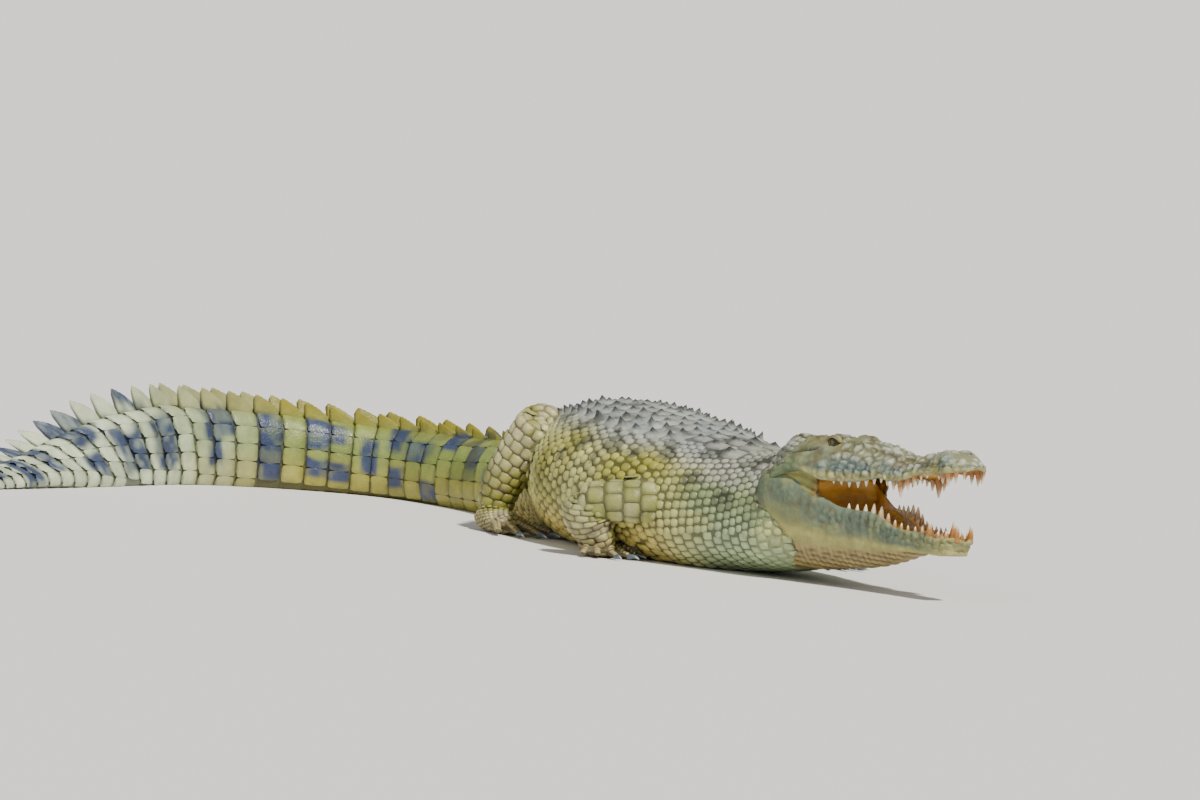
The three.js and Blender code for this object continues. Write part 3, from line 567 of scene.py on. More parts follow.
# limbs: [distance behind the skull, out to the side, up, half width, half thickness]
legs = {
    "front_right": {"side": 1,
                    "upper": [[265, 130, 140, 60, 62], [310, 205, 140, 54, 54], [360, 275, 134, 48, 48],
                              [400, 318, 124, 46, 48]],
                    "lower": [[402, 318, 126, 54, 54], [406, 308, 90, 66, 50], [404, 288, 56, 58, 40],
                              [406, 272, 32, 45, 29]],
                    "palm": {"s": 410, "right": 268, "up": 20, "wide": 44, "thick": 20, "length": 36},
                    "toes": {"heading": 4, "spread": 100, "lengths": [50, 62, 66, 60, 48], "radius": 11}},
    "front_left": {"side": -1,
                   "upper": [[265, 130, 150, 62, 70], [300, 215, 156, 60, 62], [340, 300, 148, 52, 54],
                             [378, 352, 128, 48, 50]],
                   "lower": [[384, 356, 124, 54, 54], [372, 354, 88, 64, 50], [346, 346, 55, 56, 40],
                             [322, 338, 32, 45, 29]],
                   "palm": {"s": 306, "right": 334, "up": 20, "wide": 44, "thick": 20, "length": 36},
                   "toes": {"heading": 12, "spread": 100, "lengths": [50, 62, 66, 60, 48], "radius": 11}},
    "hind_right": {"side": 1,
                   "upper": [[1085, 70, 165, 90, 90], [1005, 118, 205, 80, 78], [920, 172, 242, 64, 60],
                             [866, 200, 256, 54, 52]],
                   "lower": [[848, 212, 256, 55, 56], [870, 236, 198, 56, 54], [900, 266, 124, 54, 48],
                             [914, 280, 62, 44, 42]],
                   "palm": {"s": 866, "right": 280, "up": 30, "wide": 46, "thick": 30, "length": 74},
                   "toes": {"heading": -14, "spread": 46, "lengths": [92, 108, 104, 80], "radius": 12.5}},
    "hind_left": {"side": -1,
                  "upper": [[1085, 70, 165, 90, 90], [1010, 130, 195, 80, 78], [935, 190, 215, 64, 60],
                            [882, 222, 220, 54, 52]],
                  "lower": [[866, 236, 220, 55, 56], [896, 264, 168, 56, 54], [936, 292, 108, 54, 48],
                            [956, 306, 60, 44, 42]],
                  "palm": {"s": 912, "right": 308, "up": 30, "wide": 46, "thick": 30, "length": 74},
                  "toes": {"heading": 4, "spread": 46, "lengths": [92, 108, 104, 80], "radius": 12.5}},
}


def throughPoints(points, u):  # a smooth path through points (count, 3), u from 0 to 1
    return rounded(np.asarray(points, float)[None], np.asarray(u) * (len(points) - 1))[0]


def carried(path, wide):  # carries one direction along a path without twisting it, station by station
    along = unit(np.gradient(path, axis=0))
    across = []
    for direction in along:
        wide = unit(wide - direction * (wide @ direction))
        across.append(wide)
    across = np.array(across)
    return along, across, unit(np.cross(across, along))


class Limb:  # a tube whose section is an ellipse; a is the distance along it and b the angle round it
    def __init__(self, path, wide, thick, start, stations=64, dome=14.0):
        self.dome = dome
        u = np.linspace(0, 1, stations)
        self.path = throughPoints(path, u)
        self.along, self.across, self.over = carried(self.path, start)
        lengths = np.linalg.norm(np.diff(self.path, axis=0), axis=1)
        self.arc = np.concatenate([[0], np.cumsum(lengths)])
        knots = np.arange(len(path))
        self.wide = track(np.c_[knots, wide], u * (len(path) - 1))
        self.thick = track(np.c_[knots, thick], u * (len(path) - 1))

    def at(self, a, table):
        if table.ndim == 1:
            return np.interp(a, self.arc, table)
        return np.stack([np.interp(a, self.arc, table[:, k]) for k in range(3)], -1)

    def surface(self, a, b):  # past either end the section closes in over a low dome
        a, b = np.broadcast_arrays(a, b)
        length, radius = self.arc[-1], 0.5 * (self.wide[0] + self.thick[0])
        past = np.clip(np.where(a < 0, -a, a - length), 0, radius) / radius
        near = (1 - past)[..., None]
        rise = (np.where(a < 0, -1, 1) * self.dome * np.sqrt(np.maximum(0, 1 - (1 - past) ** 2)))[..., None]
        return (self.at(a, self.path) + self.at(a, self.along) * rise
                + self.at(a, self.across) * near * (self.at(a, self.wide) * np.cos(b))[..., None]
                + self.at(a, self.over) * near * (self.at(a, self.thick) * np.sin(b))[..., None])

    def solid(self, shrink=0.0, columns=40):
        radius = 0.5 * (self.wide[0] + self.thick[0])
        ends = radius * np.array([0.9, 0.6, 0.3, 0.1])
        a = np.concatenate([-ends, self.arc, self.arc[-1] + ends[::-1]])[:, None]
        b = np.linspace(0, 2 * math.pi, columns, endpoint=False)[None]
        rings = self.surface(a, b)
        middle = rings.mean(1, keepdims=True)
        return tubeMesh(middle + (rings - middle) * (1 - shrink / 55))


def limbOf(rows, side):
    rows = np.array(rows, float)
    path = bodyPoint(rows[:, 0], side * rows[:, 1], rows[:, 2])
    start = -(bodyPoint(rows[0, 0] + 1, 0.0, 0.0) - bodyPoint(rows[0, 0], 0.0, 0.0))
    return Limb(path, rows[:, 3], rows[:, 4], start)


def toeLimbs(leg):
    palm, toes, side = leg["palm"], leg["toes"], leg["side"]
    centre = bodyPoint(palm["s"], side * palm["right"], 0.0)
    turn = -headingAt(palm["s"]) - side * math.radians(toes["heading"])
    forward = np.array([math.cos(turn), math.sin(turn), 0])
    outward = np.array([math.sin(turn), -math.cos(turn), 0]) * side
    made = []
    count = len(toes["lengths"])
    for n, length in enumerate(toes["lengths"]):
        share = n / (count - 1) - 0.5
        angle = math.radians(toes["spread"]) * share
        way = forward * math.cos(angle) + outward * math.sin(angle)
        root = centre + forward * palm["length"] * 0.5 + outward * share * palm["wide"] * 1.5
        r = toes["radius"]
        path = [root + way * reach + np.array([0, 0, up]) for reach, up in
                [(-16, r * 1.2), (length * 0.35, r * 1.75), (length * 0.75, r * 1.15), (length, r * 0.8)]]
        radii = [r, 0.96 * r, 0.82 * r, 0.66 * r]
        made.append(Limb(path, radii, radii, np.cross(way, [0, 0, 1.0]), 30, 3.0))
    return centre, forward, outward, made


def palmLimb(leg, centre, forward, outward):  # a low rounded pad, thicker behind than in front
    palm = leg["palm"]
    u = np.linspace(-1, 1, 9)
    swell = np.sqrt(np.maximum(0.08, 1 - u ** 4))
    path = centre + (u * palm["length"])[:, None] * forward
    path[:, 2] = palm["up"] * (1 - 0.25 * u) - 4
    return Limb(path, palm["wide"] * swell, palm["thick"] * swell, outward, 40, 4.0)


limbs, feet = {}, {}
for place, leg in legs.items():
    limbs[place] = {"upper": limbOf(leg["upper"], leg["side"]), "lower": limbOf(leg["lower"], leg["side"])}
    feet[place] = toeLimbs(leg)
    limbs[place]["palm"] = palmLimb(leg, *feet[place][:3])

# the skin below the head: body, legs and feet melted into one, then smoothed
skinLook = {"voxel": 0.0078, "smoothRounds": 5}
stations = np.arange(-58, build["bodyLength"] - 4, 14.0)[:, None]
turns = np.linspace(0, 2 * math.pi, 96, endpoint=False)[None]
parts = [tubeMesh(bodySurface(stations, turns, -build["skinDepth"]))]
for place, leg in legs.items():
    parts += [limbs[place][kind].solid(build["skinDepth"]) for kind in ("upper", "lower", "palm")]
    parts += [toe.solid(0.4, 20) for toe in feet[place][3]]
rough = newObject("rough_body", *joined(parts))
remesh = rough.modifiers.new("melt", "REMESH")
remesh.mode, remesh.voxel_size = "VOXEL", skinLook["voxel"]
soften = rough.modifiers.new("soften", "SMOOTH")
soften.factor, soften.iterations = 0.5, skinLook["smoothRounds"]
melted = bpy.data.meshes.new_from_object(rough.evaluated_get(bpy.context.evaluated_depsgraph_get()))
count = len(melted.vertices)
co = np.empty(count * 3, np.float32)
melted.vertices.foreach_get("co", co)
bodyPoints = co.reshape(-1, 3).astype(float) * 1000 - shift
bodyPoints[:, 2] = np.maximum(bodyPoints[:, 2], 0.4)
bodyQuads = np.empty(len(melted.loops), np.int32)
melted.loops.foreach_get("vertex_index", bodyQuads)
bodyQuads = bodyQuads.reshape(-1, 4)
bpy.data.objects.remove(rough)
print("melted body", count, len(bodyQuads))

# head skin
# lumpGrooveShade and sideGroove set how dark the painted shade in the head's grooves is
headLook = {"lump": 24, "lumpHeight": 9.0, "tableLump": 28, "tableHeight": 4.5, "socket": 7.0,
            "sideLump": 21, "sideHeight": 4.6, "lumpGrooveShade": 0.4, "sideGroove": 0.28}


def gridNormals(grid):
    return unit(np.cross(np.gradient(grid, axis=0), np.gradient(grid, axis=1)))


def wholeRing(half):  # half sections (rows, count, 2) on the left, mirrored into whole rings
    return np.concatenate([half, half[:, -2:0:-1] * np.array([-1, 1])], axis=1)


def socketSwell(t, teeth, width):
    return sum(bell(t, row[0], width) * min(1.3, row[2] / 7) for row in teeth)


upperT = np.concatenate([np.linspace(0, 30, 14)[:-1], np.linspace(30, 572, 176)])
upperW = np.concatenate([np.linspace(0, 2, 8)[:-1], np.linspace(2, 4, 14)[:-1], np.linspace(4, 10, 52)])
upperHalf = rounded(upperCorners(upperT), upperW)
upperRing = wholeRing(upperHalf)
ringW = np.concatenate([upperW, upperW[-2:0:-1]])[None]
behind = upperT[:, None] + 0 * ringW
upperGrid = upperPoint(behind, upperRing[..., 0], upperRing[..., 1])
inside = upperPoint(behind, 0 * behind, (track(lipHeights, behind) + track(topHeights, behind)) / 2)
normal = gridNormals(upperGrid)
normal *= np.sign((normal * (upperGrid - inside)).sum(-1).mean())
outer = between(ringW, 2.6, 3.4) * (1 - 0 * behind)
snout = (1 - between(behind, 365, 410)) * outer
lump = 0.62 * cobbles(upperGrid, headLook["lump"], 2) + 0.38 * cobbles(upperGrid, 0.55 * headLook["lump"], 5)
lump = mix(lump, cloud(upperGrid, 30, 12), 0.35)
rugged = snout * (0.35 + 0.65 * between(behind, 60, 120))
lift = headLook["lumpHeight"] * (lump - 0.6) * rugged * between(ringW, 3.5, 5.5)
lift += headLook["sideHeight"] * (cobbles(upperGrid, headLook["sideLump"], 21) - 0.6) * outer * (
    1 - between(ringW, 4.6, 6)) * (1 - 0.7 * between(behind, 400, 460))
tableLump = (cobbles(upperGrid, headLook["tableLump"], 8) - 0.5) * outer
lift += headLook["tableHeight"] * tableLump * between(behind, 365, 410) * between(ringW, 5, 7)
lift += headLook["socket"] * socketSwell(behind, upperTeeth, 7) * bell(ringW, 3.6, 1.3)
lift += 4 * (cloud(upperGrid, 40, 4) - 0.5) * snout * between(ringW, 5, 7)
across = np.abs(upperRing[..., 0])
lift += 5.0 * bell(behind, 46, 16) * bell(across, 17, 9) * between(ringW, 6.5, 8)  # nostril valves
lift -= 9.0 * bell(behind, 42, 5.5) * bell(across, 15, 4.5) * between(ringW, 6.5, 8)  # nostril slits
ridges = between(behind, 130, 230) * (1 - between(behind, 330, 380)) * between(ringW, 6, 7)
lift += 4.0 * bell(across, 26 + 0.08 * (behind - 100), 6) * ridges  # two low ridges along the snout
ear = track([[430, 86], [470, 80], [520, 72]], behind)
earLine = bell(upperRing[..., 1], ear, 3.2) * between(behind, 438, 448)
earLine = earLine * (1 - between(behind, 500, 514)) * between(ringW, 5, 6)
lift -= 7.0 * earLine
slant = np.mod(behind * 0.72 + upperRing[..., 1] + 3 * cloud(upperGrid, 30, 6), 17)
folds = between(ringW, 5.2, 5.8) * (1 - between(ringW, 6.6, 7.4)) * between(behind, 470, 500)
lift -= 1.4 * outer * bell(slant, 8.5, 2.2) * folds  # oblique folds behind the jaw joint
upperGrid = upperGrid + normal * (lift - 0.5)[..., None]

# Near each eye the skin gives way to the eyeball, and the lids cover its edge.
for side in (1, -1):
    centre = upperPoint(eye["t"], side * eye["y"], eye["z"])
    away = upperGrid - centre
    reach = np.linalg.norm(away, axis=-1, keepdims=True)
    depth = 13.5 * headScale + 0 * reach
    sink = (1 - between(reach, 16, 25)) * (side * upperRing[..., 0] > 0)[..., None]
    upperGrid = upperGrid - unit(away) * np.maximum(0, reach - depth) * sink
upperMesh = tubeMesh(upperGrid)


def headColour(points, behind, ring):  # by place on the upper head's section
    fine, patch = cloud(points, 18, 31), cloud(points, 55, 33)
    crown = cobbles(points, headLook["lump"], 2)
    top = mix(paint["snoutTop"], paint["headTop"], between(behind, 300, 430))
    top = mix(top, paint["brow"], 0.7 * smooth(patch * 2.6 - 0.8))
    side = mix(paint["snoutSide"], paint["cheek"], between(behind, 380, 470))
    side = mix(side, paint["jawEdge"], 0.5 * between(cloud(points, 26, 36), 0.5, 0.7))
    colour = mix(side, top, between(ring + 1.4 * (patch - 0.5), 4.6, 6.4))
    # Painted highlight: the crowns of the snout's lumps are painted pale, as if lit.
    colour = mix(colour, paint["crown"], 0.45 * between(crown, 0.55, 0.95) * (1 - between(behind, 380, 430)))
    table = between(behind, 446, 470) * (1 - between(behind, 520, 545)) * between(ring, 5.6, 6.6)
    colour = mix(colour, paint["table"], 0.7 * table)
    lipBand = bell(ring, 3.3, 0.6) * (1 - between(behind, 430, 480))
    colour = mix(colour, paint["lip"], 0.85 * lipBand)
    notch = bell(behind, 100, 18) * bell(ring, 4.4, 1.3)
    colour = mix(colour, paint["notch"], 0.7 * notch)
    brown = between(cloud(points, 30, 35), 0.62, 0.72) * between(ring, 3.8, 4.6)
    colour = mix(colour, paint["patch"], 0.5 * brown)
    rear = between(behind, 450, 520) * (1 - between(ring, 6.8, 7.6))
    colour = mix(colour, paint["neck"], 0.4 * rear)
    inner = mix(paint["mouth"], paint["mouthDeep"], between(behind, 330, 520))
    inner = mix(inner, paint["cheek"], between(behind, 455, 490))
    inner = mix(inner, paint["snoutTop"], 1 - between(behind, 14, 30))
    # Painted shadow: the palate next to the lips, under the upper jaw's overhang, is painted dark brown.
    inner = mix(inner, paint["paintedGumShadow"], 0.75 * between(ring, 1.1, 1.6) * (1 - between(behind, 300, 380)))
    return mix(inner, colour, between(ring, 1.9, 2.3)) * (0.8 + 0.4 * fine)[..., None]


upperTint = headColour(upperGrid, behind, ringW + 0 * behind)
# Painted shade: the grooves between the head's lumps, the ear slit and the nostril slits are darkened, as if
# in shade.
paintedSideGrooveShade = (1 - cobbles(upperGrid, headLook["sideLump"], 21)) * outer * (ringW < 6)
groove = headLook["lumpGrooveShade"] * between(1 - lump, 0.25, 0.9) * rugged + 0.9 * earLine
groove = np.clip(groove + headLook["sideGroove"] * paintedSideGrooveShade, 0, 0.85)
nostril = bell(behind, 42, 6) * bell(across, 15, 5) * between(ringW, 6.5, 8)
upperTint = upperTint * (1 - np.maximum(groove, 0.9 * nostril))[..., None]
upperTint = tubeTint(upperTint)

lowerT = np.concatenate([np.linspace(0, 20, 9)[:-1], np.linspace(20, 580, 160)])
lowerW = np.concatenate([np.linspace(0, 3, 10)[:-1], np.linspace(3, 5, 12)[:-1], np.linspace(5, 10, 34)])
lowerHalf = rounded(lowerCorners(lowerT), lowerW)
lowerRing = wholeRing(lowerHalf)
lowW = np.concatenate([lowerW, lowerW[-2:0:-1]])[None]
jawBehind = lowerT[:, None] + 0 * lowW
lowerGrid = lowerPoint(jawBehind, lowerRing[..., 0], lowerRing[..., 1])
mouthFloor = track(edgeHeights, jawBehind) - track(floorDepths, jawBehind)
inside = lowerPoint(jawBehind, 0 * jawBehind, (mouthFloor + track(throatHeights, jawBehind)) / 2)
normal = gridNormals(lowerGrid)
normal *= np.sign((normal * (lowerGrid - inside)).sum(-1).mean())
outer = between(lowW, 4.2, 4.9) + 0 * jawBehind
lift = headLook["sideHeight"] * (cobbles(lowerGrid, 15, 41) - 0.6) * outer * (1 - between(lowW, 7, 8)) * (
    0.3 + 0.7 * (1 - between(lowW, 4.8, 6.4)) * (1 - between(jawBehind, 360, 430)))
lift += 6.0 * socketSwell(jawBehind, lowerTeeth, 8) * bell(lowW, 4.7, 0.9)
pleat = bell(np.mod(lowerRing[..., 1] + 4 * cloud(lowerGrid, 60, 43), 13), 6.5, 2.4)
lift -= 3.4 * pleat * between(lowW, 7.3, 7.9) * between(jawBehind, 60, 130)
cross = bell(np.mod(jawBehind + 5 * cloud(lowerGrid, 30, 44), 15), 7.5, 1.7)
lift -= 1.6 * cross * between(lowW, 7.2, 7.8)
lift -= 9 * (1 - between(jawBehind, 0, 16)) * between(lowW, 5.5, 7)  # rounds the chin
lowerGrid = lowerGrid + normal * (lift - 0.5)[..., None]
lowerMesh = tubeMesh(lowerGrid)
fine, patch = cloud(lowerGrid, 18, 51), cloud(lowerGrid, 60, 53)
side = mix(paint["jawSide"], paint["cheek"], 0.45 * between(jawBehind, 330, 440))
side = mix(side, paint["jawEdge"], 0.4 * between(cloud(lowerGrid, 34, 55), 0.45, 0.75))
side = mix(side, paint["patch"], 0.4 * between(cloud(lowerGrid, 12, 56), 0.62, 0.76))
side = mix(side, paint["jawEdge"], between(lowW + 1.2 * (patch - 0.5), 5.7, 6.9))
side = mix(side, paint["jawTip"], (1 - between(jawBehind, 30, 110)) * 0.8)
side = mix(side, paint["lip"], 0.7 * bell(lowW, 6.95, 0.35))
side = mix(side, paint["jawThroat"], between(lowW, 7.2, 7.7) * between(jawBehind, 70, 150))
inner = mix(paint["mouth"], paint["mouthDeep"], between(jawBehind, 260, 420) * (1 - between(lowW, 1.8, 3)))
# Painted light: the inner walls of the lower jaw are painted near white, as if sunlit, much paler than the
# rest of the mouth.
inner = mix(inner, paint["paintedLitFarMouth"], 0.95 * between(lowW, 1.3, 2.4) * (1 - between(jawBehind, 340, 420)))
inner = mix(inner, paint["cheek"], between(jawBehind, 440, 475))
inner = mix(inner, paint["jawTip"], 1 - between(jawBehind, 8, 20))
jawTint = mix(inner, side, between(lowW, 3.3, 3.8))
# Painted shade: the grooves between the jaw's lumps and the pleats and creases under the chin are darkened,
# as if in shade.
paintedSideGrooveShade = (1 - cobbles(lowerGrid, 15, 41)) * outer * (1 - 0.6 * between(lowW, 4.8, 6.4)) * (lowW < 7.4)
groove = headLook["sideGroove"] * paintedSideGrooveShade + 0.45 * cross * between(lowW, 7.2, 8.0)
groove = groove + 0.7 * pleat * between(lowW, 7.3, 7.9) * between(jawBehind, 60, 130)
jawTint = jawTint * ((0.84 + 0.32 * fine) * (1 - np.clip(groove, 0, 0.8)))[..., None]
jawTint = tubeTint(jawTint)


cheekLook = {"front": 438, "bow": 14, "length": 100, "inset": 0.91, "drop": 26, "lift": 14, "thick": 3.2}


def cheekMesh(side):  # the skin stretched between the jaws at the mouth's corner
    u, v = np.linspace(0, 1, 26)[:, None], np.linspace(0, 1, 22)[None]
    t = cheekLook["front"] - cheekLook["bow"] * np.sin(math.pi * v) * (1 - u) + cheekLook["length"] * u
    jawPlace, wide = t - build["jawSetBack"], side * cheekLook["inset"] * track(snoutWidths, t)
    low = lowerPoint(jawPlace + 6, wide, track(edgeHeights, jawPlace) - cheekLook["drop"])
    high = upperPoint(t - 8, wide, track(lipHeights, t) + cheekLook["lift"])
    sheet = low * (1 - v[..., None]) + high * v[..., None]
    out = upperPoint(500.0, side * 200.0, 0.0) - upperPoint(500.0, 0.0, 0.0)
    out = out / np.linalg.norm(out)
    fold = 1.6 * np.sin(v * 26 + 3 * u) * (1 - u) - 5 * np.sin(math.pi * v)
    skinSide, mouthSide = (np.swapaxes(sheet + out * (fold + way * cheekLook["thick"])[..., None], 0, 1)
                           for way in (1, -1))
    ring = np.concatenate([skinSide, mouthSide[:, ::-1]], axis=1)
    points, faces = tubeMesh(ring)
    back = np.concatenate([u[:, 0], u[::-1, 0]])[None] + 0 * v.T  # 0 at the front edge and 1 at the rear
    outside = np.concatenate([np.ones((22, 26)), np.zeros((22, 26))], axis=1)
    outside = np.maximum(outside * (0.3 + 0.7 * between(back, 0, 0.1)), between(back, 0.4, 0.6))
    tone = mix(paint["mouth"], mix(paint["cheek"], paint["fold"], 0.5), outside)
    # Painted shade: the troughs of the folds and the front edge deep in the mouth's corner are darkened.
    paintedCreaseShade = 0.25 * (np.sin(v.T * 26 + 3 * back) < -0.2)
    tone = tone * (0.5 + 0.5 * between(back, 0, 0.2) - paintedCreaseShade)[..., None]
    tone = tone * (0.8 + 0.4 * cloud(ring, 12, 61))[..., None]
    return points, faces, tubeTint(tone)


# eyelids: shells turned about the line between the eye's corners
lidLook = {"upperOpen": 46, "lowerOpen": 33, "gap": 0.7, "thick": 2.6, "cover": 78}


def lidMesh(side, upper):
    psi = np.radians(np.linspace(-86, 86, 56))[:, None]
    v = np.linspace(0, 1, 16)[None]
    opening = lidLook["upperOpen" if upper else "lowerOpen"] * np.maximum(0, np.cos(psi * 1.08)) ** 0.6
    phi = np.radians(opening + v ** 1.3 * (lidLook["cover"] + 24 - opening)) * (1 if upper else -1)
    roll = between(v, 0, 0.16)
    radius = eye["radius"] + lidLook["gap"] + lidLook["thick"] * roll
    swell = 2.2 * bell(v, 0.34, 0.14) if upper else 1.2 * bell(v, 0.3, 0.16)
    radius = radius + 0.9 * np.sin(v * 30) * between(v, 0.15, 0.35) + swell
    x, ring = radius * np.sin(psi), radius * np.cos(psi)
    y, z = ring * np.cos(phi), ring * np.sin(phi)
    outerSheet = upperPoint(eye["t"] - x / headScale, side * (eye["y"] + y / headScale),
                            eye["z"] + z / headScale)
    middle = upperPoint(eye["t"], side * eye["y"], eye["z"])
    innerSheet = middle + unit(outerSheet - middle) * (eye["radius"] + 0.25)
    ringPoints = np.concatenate([outerSheet, innerSheet[:, ::-1]], axis=1)
    points, faces = tubeMesh(ringPoints)
    lidTone = mix(paint["brow"], paint["snoutTop" if upper else "brow"], 0.5 * between(v, 0.3, 0.6) + 0 * psi)
    # The upper lid's rim is painted with a pale highlight; the lower lid's rim is dark.
    rim = linear("#cfae9a" if upper else "#4a4228")
    lidTone = mix(lidTone, rim, 0.8 * bell(v, 0.13, 0.05) + 0 * psi)
    lidTone = mix(lidTone, linear("#1d1a12"), (1 - between(v, 0.02, 0.1)) + 0 * psi)
    corner = between(np.sin(psi), 0.72, 0.92) * bell(v, 0.15, 0.25)
    lidTone = mix(lidTone, paint["notch"], 0.8 * corner)
    # Painted shade: darker in the troughs of the lid's folds.
    lidTone = lidTone * (1 - 0.35 * bell(np.mod(v * 30 / (2 * math.pi), 1), 0.75, 0.22))[..., None]
    # Painted shade: the lid's inner sheet against the eyeball is painted much darker.
    tone = np.concatenate([lidTone, lidTone[:, ::-1] * 0.4], axis=1)
    return points, faces, tubeTint(tone)


throatLook = {"t": 462, "deep": 26, "wide": 128, "z": -38, "high": 92, "dip": 14, "fold": 5}


def throatMesh():  # the folds that close the throat at the back of the mouth
    u = np.linspace(0, math.pi, 40)[1:-1][:, None]
    w = np.linspace(0, 2 * math.pi, 64, endpoint=False)[None]
    x, y, z = np.cos(u) + 0 * w, np.sin(u) * np.cos(w), np.sin(u) * np.sin(w)
    fold = throatLook["fold"] * np.sin(z * 16) * np.abs(z) ** 0.5
    rings = upperPoint(throatLook["t"] - throatLook["deep"] * x - fold * (x > 0), throatLook["wide"] * y,
                       throatLook["z"] + throatLook["high"] * z - throatLook["dip"] * y ** 2)
    points, faces = tubeMesh(rings)
    tone = mix(paint["mouthDeep"], paint["mouth"], between(z + 0.3 * np.abs(y), -0.1, 0.7))
    tone = tone * (0.75 + 0.4 * cloud(rings, 16, 91))[..., None]
    return points, faces, tubeTint(tone)


extras = [throatMesh(), cheekMesh(1), cheekMesh(-1)]
extras += [lidMesh(side, upper) for side in (1, -1) for upper in (True, False)]
skinPlace = bodyPlace(bodyPoints)[0]
skinTint = bodyColour(bodyPoints, skinPlace) * (0.3 + 0.4 * (1 - between(skinPlace, 0, 40)))[:, None]
legPart = np.zeros(count)
for place in legs:  # near a leg the skin takes the leg's colour
    for kind in ("upper", "lower"):
        limb = limbs[place][kind]
        for part in np.array_split(np.arange(count), max(1, count // 20000)):
            gap = np.sqrt(((bodyPoints[part, None] - limb.path[None, ::4]) ** 2).sum(-1)).min(1)
            near = 1 - between(gap, limb.wide.mean() * 1.02, limb.wide.mean() * 1.3)
            legPart[part] = np.maximum(legPart[part], near)
    centre, forward, outward, toes = feet[place]
    gap = np.linalg.norm(bodyPoints[:, :2] - centre[:2], axis=-1)
    legPart = np.maximum(legPart, (gap < 190) * (bodyPoints[:, 2] < 45) * 1.0)
skinTint = mix(skinTint, legColour(bodyPoints, skinPlace) * 0.32, legPart)
skinParts = [(bodyPoints, [bodyQuads]), upperMesh, lowerMesh] + [extra[:2] for extra in extras]
skinPoints, skinFaces = joined(skinParts)
tints = np.concatenate([skinTint, upperTint, jawTint] + [extra[2] for extra in extras])
skin = newObject("hide", skinPoints, skinFaces, {"tint": tints})
skin.data.materials.append(hide)
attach(skin, "root")
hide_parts("head_upper", "jaw_lower", "neck", "trunk_front", "trunk_rear",
            *[f"tail_{n}" for n in range(1, 6)],
            *[f"{part}_{place}" for part in ("leg_upper", "leg_lower", "foot") for place in legs])
print("skin", len(skinPoints), sum(len(f) * (f.shape[1] - 2) for f in skinFaces), "triangles")


# scales: solid plates laid over the skin
plateLook = {"sink": 1.2}
sides = 10
polarR = np.array([0.5, 0.92, 1.0])
polarA = 2 * np.pi * np.arange(sides) / sides


def roundTemplate(square):  # a middle point and three rings of a rounded square; square 2 is a circle
    x, y = power(np.cos(polarA), 2 / square), power(np.sin(polarA), 2 / square)
    px = np.concatenate([[0], (polarR[:, None] * x).ravel()])
    py = np.concatenate([[0], (polarR[:, None] * y).ravel()])
    r = np.concatenate([[0], np.repeat(polarR, sides)])
    c = np.arange(sides)
    n = (c + 1) % sides
    cap = np.stack([0 * c, 1 + c, 1 + n], -1)
    bands = [np.stack([c, sides + c, sides + n, n], -1) + 1 + k * sides for k in range(2)]
    return {"x": px, "y": py, "r": r, "faces": [cap, np.concatenate(bands)]}


def gridTemplate():  # a rounded rectangle with a line of points along its middle for a keel
    xs = np.array([-1, -0.92, -0.5, -0.1, 0.2, 0.45, 0.7, 0.92, 1])
    ys = np.array([-1, -0.92, -0.5, -0.25, 0, 0.25, 0.5, 0.92, 1])
    x, y = np.meshgrid(xs, ys, indexing="ij")
    r = np.maximum(np.abs(x), np.abs(y))
    squeeze = 1 - 0.13 * x ** 2 * y ** 2
    return {"x": (x * squeeze).ravel(), "y": (y * squeeze).ravel(), "r": r.ravel(),
            "faces": [gridFaces(len(xs), len(ys))[:, ::-1]]}


pebble, tile, keeled = roundTemplate(2.3), roundTemplate(4.2), gridTemplate()
normalStep = 1.5  # how far to either side a normal looks along the surface, in mm


def raisedPoint(surface, a, b, stepB):  # the surface point and its outward normal
    acrossA = surface(a + normalStep, b) - surface(a - normalStep, b)
    acrossB = surface(a, b + stepB) - surface(a, b - stepB)
    return surface(a, b), unit(np.cross(acrossA, acrossB))


